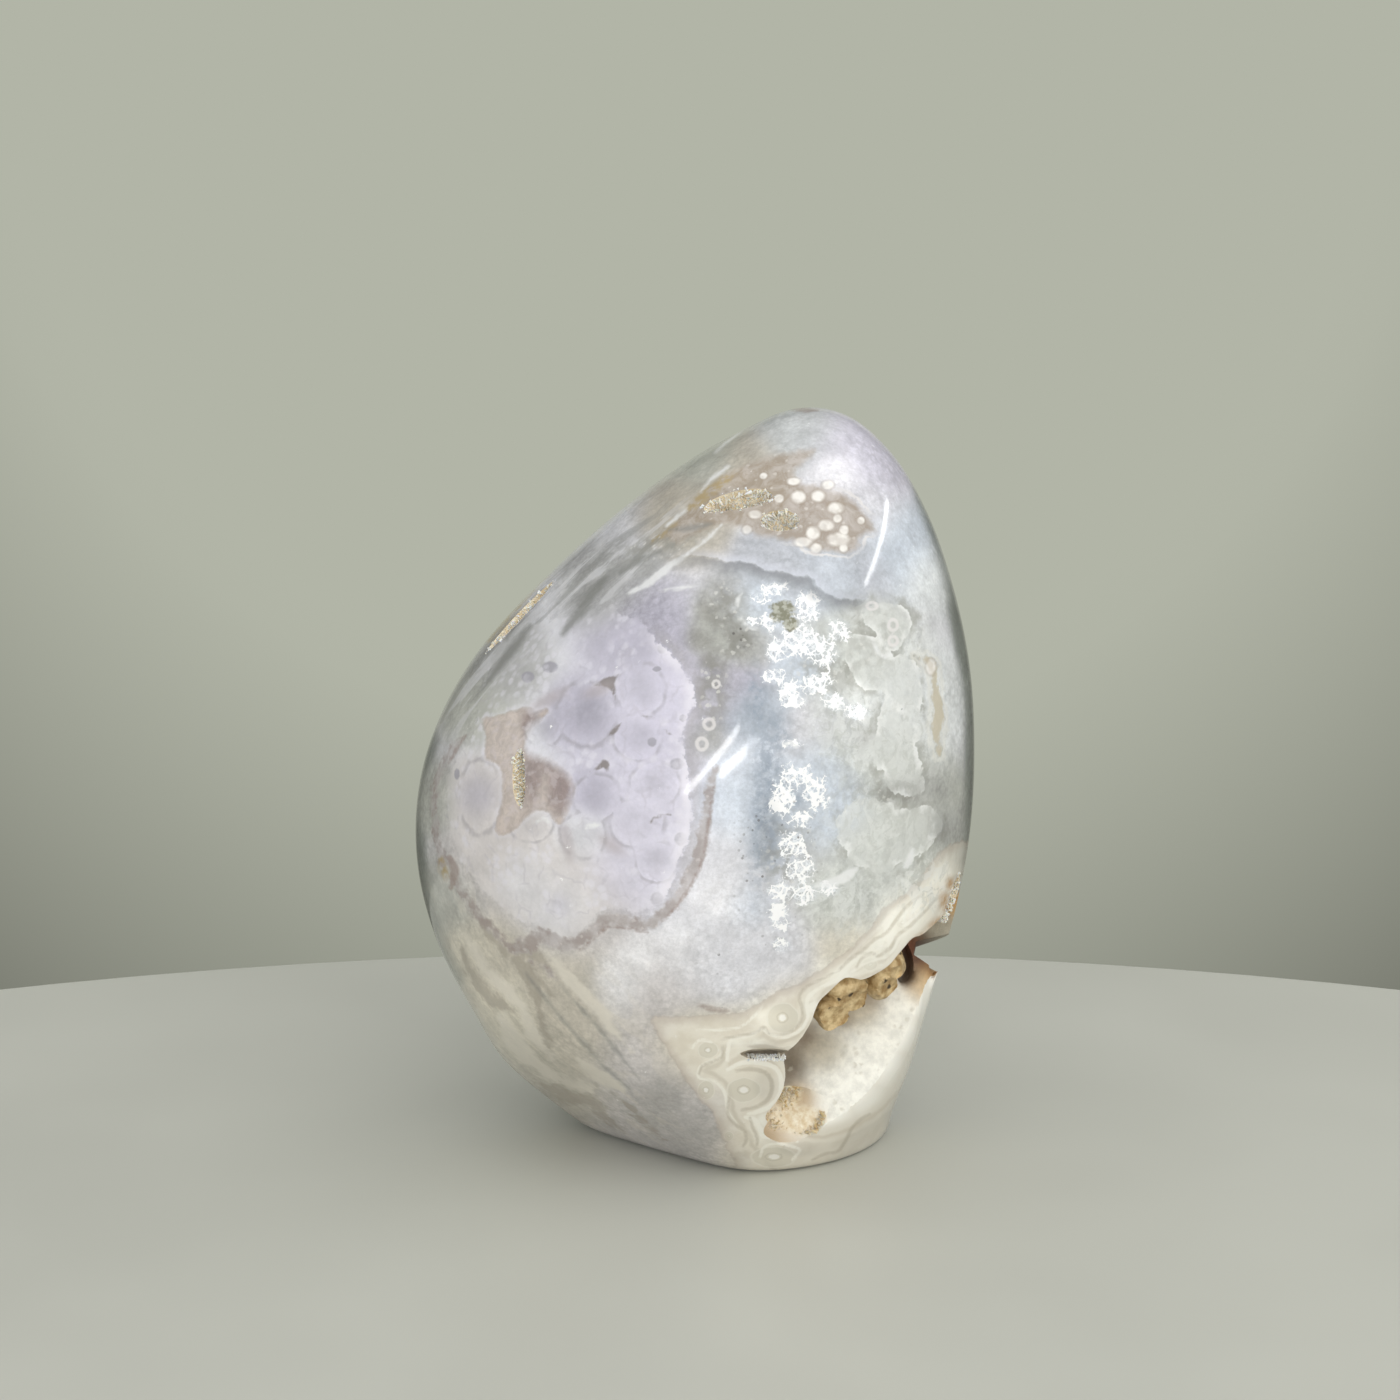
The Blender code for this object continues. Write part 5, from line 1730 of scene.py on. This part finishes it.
# The pits' near black is painted shade.
shaded_pits = lump.ramp(lump.cells(1.9, 0.8), 0.26, 0.14)
colour.lay((30, 20, 10), shaded_pits, 0.9)
lump.finish(colour, bump=lump.maths("SUBTRACT", lump.grain(0.6, 5, 0.65), shaded_pits), bump_mm=0.16)
print("ochre_lump:", len(lump.tree.nodes), "nodes")

# %% [markdown]
# ## Pocket walls
#
# Between its crystals a pocket's wall is pale quartz, and where the vug grew none it is like the
# crevice beside it. Two materials would leave a hard edge between them, so one stored number
# blends the two colours.

# %% Pocket walls
pocket = Finish("pocket_wall", roughness=0.55)
colour = mixed(pocket, (226, 206, 170), (252, 244, 224), pocket.ramp(pocket.grain(0.9, 4, 0.6), 0.3, 0.7))
colour.lay(pocket.stored("wall_colour_and_shade", "Color"), pocket.ramp(pocket.stored("grown"), 0.95, 0.3))
pocket.finish(colour, bump=pocket.grain(0.4, 4, 0.6), bump_mm=0.12)
print("pocket_wall:", len(pocket.tree.nodes), "nodes")

# %% [markdown]
# ## Golden druse
#
# The crystals are clear quartz tinted by the crust below them. Real refraction would be slow and
# dark in so small a hollow, so they are solid with light let in, and each has its own tint,
# stored when it grew: darker in the vug as painted shade, paler in the higher pockets as painted light.

# %% Golden druse
quartz = Finish("golden_druse", roughness=0.28)
tint = quartz.stored("shade")
colour = mixed(quartz, (222, 196, 154), (255, 253, 244), quartz.ramp(tint, 0, 1))
colour.shade(quartz.ramp(quartz.grain(1.6, 3), 0.3, 0.7, 0.85, 1.05))
quartz.shader.inputs["Specular IOR Level"].default_value = 0.3
quartz.soften(0.5, (1.0, 0.7, 0.4))
quartz.finish(colour)
print("golden_druse:", len(quartz.tree.nodes), "nodes")

# %% [markdown]
# ## The tabletop
#
# The stone stands on a pale, slightly glossy tabletop. A plane would do, but a round slab with a
# softened edge also looks right from the side and gives the far edge that meets the wall.

# %% Tabletop
TABLE_RADIUS = 340.0
TABLE_MIDDLE = (0.0, -255.0)
TABLE_THICK = 12.0
TABLE_EDGE = 2.0
TABLE_SIDES = 160
table = Finish("tabletop", roughness=0.42, ior=1.45)
table.finish(mixed(table, (194, 195, 187), (200, 201, 193), table.ramp(table.grain(60), 0.3, 0.7)))
form = bmesh.new()
bmesh.ops.create_cone(form, cap_ends=True, segments=TABLE_SIDES, radius1=TABLE_RADIUS,
                      radius2=TABLE_RADIUS, depth=TABLE_THICK)
rims = [e for e in form.edges if any(len(f.verts) > 4 for f in e.link_faces)]
bmesh.ops.bevel(form, geom=rims, offset=TABLE_EDGE, offset_type="OFFSET", affect="EDGES", segments=4,
                profile=0.5, material=-1)
bmesh.ops.translate(form, verts=form.verts[:], vec=(*TABLE_MIDDLE, -TABLE_THICK / 2))
for face in form.faces:
    face.smooth = len(face.verts) == 4
tabletop = put_object("tabletop", form, "tabletop")
print("tabletop:", len(tabletop.data.polygons), "faces")

# %% [markdown]
# ## The room
#
# Polish shows its surroundings, so the room matters more than for a dull thing. An image of a
# real room would bring its windows with it. A plain one is enough: lighter ahead, behind and
# above, and darker to the sides, which helps the stone's outline to its thin dark edge; painted shade down
# both edges of the skin does the rest.

# %% Room
ROOM = {
    "ahead": srgb(178, 181, 167),
    "beside": srgb(96, 97, 88),
    "behind": srgb(178, 177, 174),
    "above": srgb(225, 226, 222),
}
AHEAD_FROM = 0.97
BESIDE = (0.55, 0.90)
ABOVE = (0.35, 0.85)
room = bpy.data.worlds.new("room")
bpy.context.scene.world = room
room.use_nodes = True
tree = room.node_tree
split = tree.nodes.new("ShaderNodeSeparateXYZ")
tree.links.new(tree.nodes.new("ShaderNodeTexCoord").outputs["Generated"], split.inputs[0])
round_room = tree.nodes.new("ShaderNodeValToRGB")
tree.links.new(split.outputs["Y"], round_room.inputs[0])
stops = round_room.color_ramp.elements
stops[0].position, stops[0].color = 0.0, ROOM["behind"]
stops[1].position, stops[1].color = AHEAD_FROM, ROOM["ahead"]
for position in BESIDE:
    stops.new(position).color = ROOM["beside"]
upwards = tree.nodes.new("ShaderNodeMapRange")
upwards.interpolation_type = "SMOOTHSTEP"
upwards.inputs["From Min"].default_value, upwards.inputs["From Max"].default_value = ABOVE
tree.links.new(split.outputs["Z"], upwards.inputs["Value"])
blend = tree.nodes.new("ShaderNodeMix")
blend.data_type = "RGBA"
tree.links.new(upwards.outputs[0], blend.inputs["Factor"])
tree.links.new(round_room.outputs["Color"], blend.inputs["A"])
blend.inputs["B"].default_value = ROOM["above"]
tree.links.new(blend.outputs["Result"], tree.nodes["Background"].inputs["Color"])
tree.nodes["Background"].inputs["Strength"].default_value = 1.0
print("the room is", len(ROOM), "colours")

# %% [markdown]
# ## The lamps
#
# Two wide soft lamps, at the right and at the left of the camera, give the stone its round
# shading, and a third hangs above. Three narrow ones stand where a window's frame would leave
# bright streaks, and the polish mirrors only those. Sun and sky would be simpler, but too hard.

# %% Lamps
AIM = Vector((0.0, 0.0, 0.045))
LAMPS = {
    "window": (30, 30, 1.0, (1.0, 1.0), 4.4, (1.0, 0.99, 0.96), 0),
    "front": (-25, 6, 1.3, (1.4, 0.9), 4.2, (0.97, 0.98, 1.0), 0),
    "ceiling": (-10, 80, 1.1, (1.2, 1.2), 1.0, (1.0, 1.0, 1.0), 0),
    "long streak": (1.2, 10.4, 1.3, (0.42, 0.045), 0.70, (1.0, 1.0, 1.0), 38),
    "short streak": (8.6, 8.9, 1.3, (0.20, 0.065), 0.45, (1.0, 1.0, 1.0), 23),
    "crown streak": (90, 32, 1.2, (0.80, 0.03), 0.9, (1.0, 1.0, 1.0), 0),
}


def hang_lamp(name, right_of_camera, up, away, size, watts, colour, lean):
    """A rectangular lamp in a direction given in degrees, at a distance in metres, facing the stone."""
    light = bpy.data.lights.new(name, "AREA")
    light.shape = "RECTANGLE"
    light.size, light.size_y = size
    light.energy = watts
    light.color = colour
    lamp = bpy.data.objects.new(name, light)
    bpy.context.scene.collection.objects.link(lamp)
    side, up = math.radians(right_of_camera), math.radians(up)
    way = Vector((math.sin(side) * math.cos(up), -math.cos(side) * math.cos(up), math.sin(up)))
    lamp.location = AIM + way * away
    turn = way.to_track_quat("Z", "Y").to_matrix() @ Matrix.Rotation(math.radians(lean), 3, "Z")
    lamp.rotation_euler = turn.to_euler()
    lamp.visible_glossy = "streak" in name


for name, facts in LAMPS.items():
    hang_lamp(name, *facts)
print("lamps:", ", ".join(LAMPS))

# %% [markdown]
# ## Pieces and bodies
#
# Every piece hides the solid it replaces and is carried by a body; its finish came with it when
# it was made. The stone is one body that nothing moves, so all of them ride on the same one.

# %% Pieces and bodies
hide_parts("agate_stone")
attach(agate, BODY)
for name, druse in crystals.items():
    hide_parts(name)
    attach(druse, BODY)
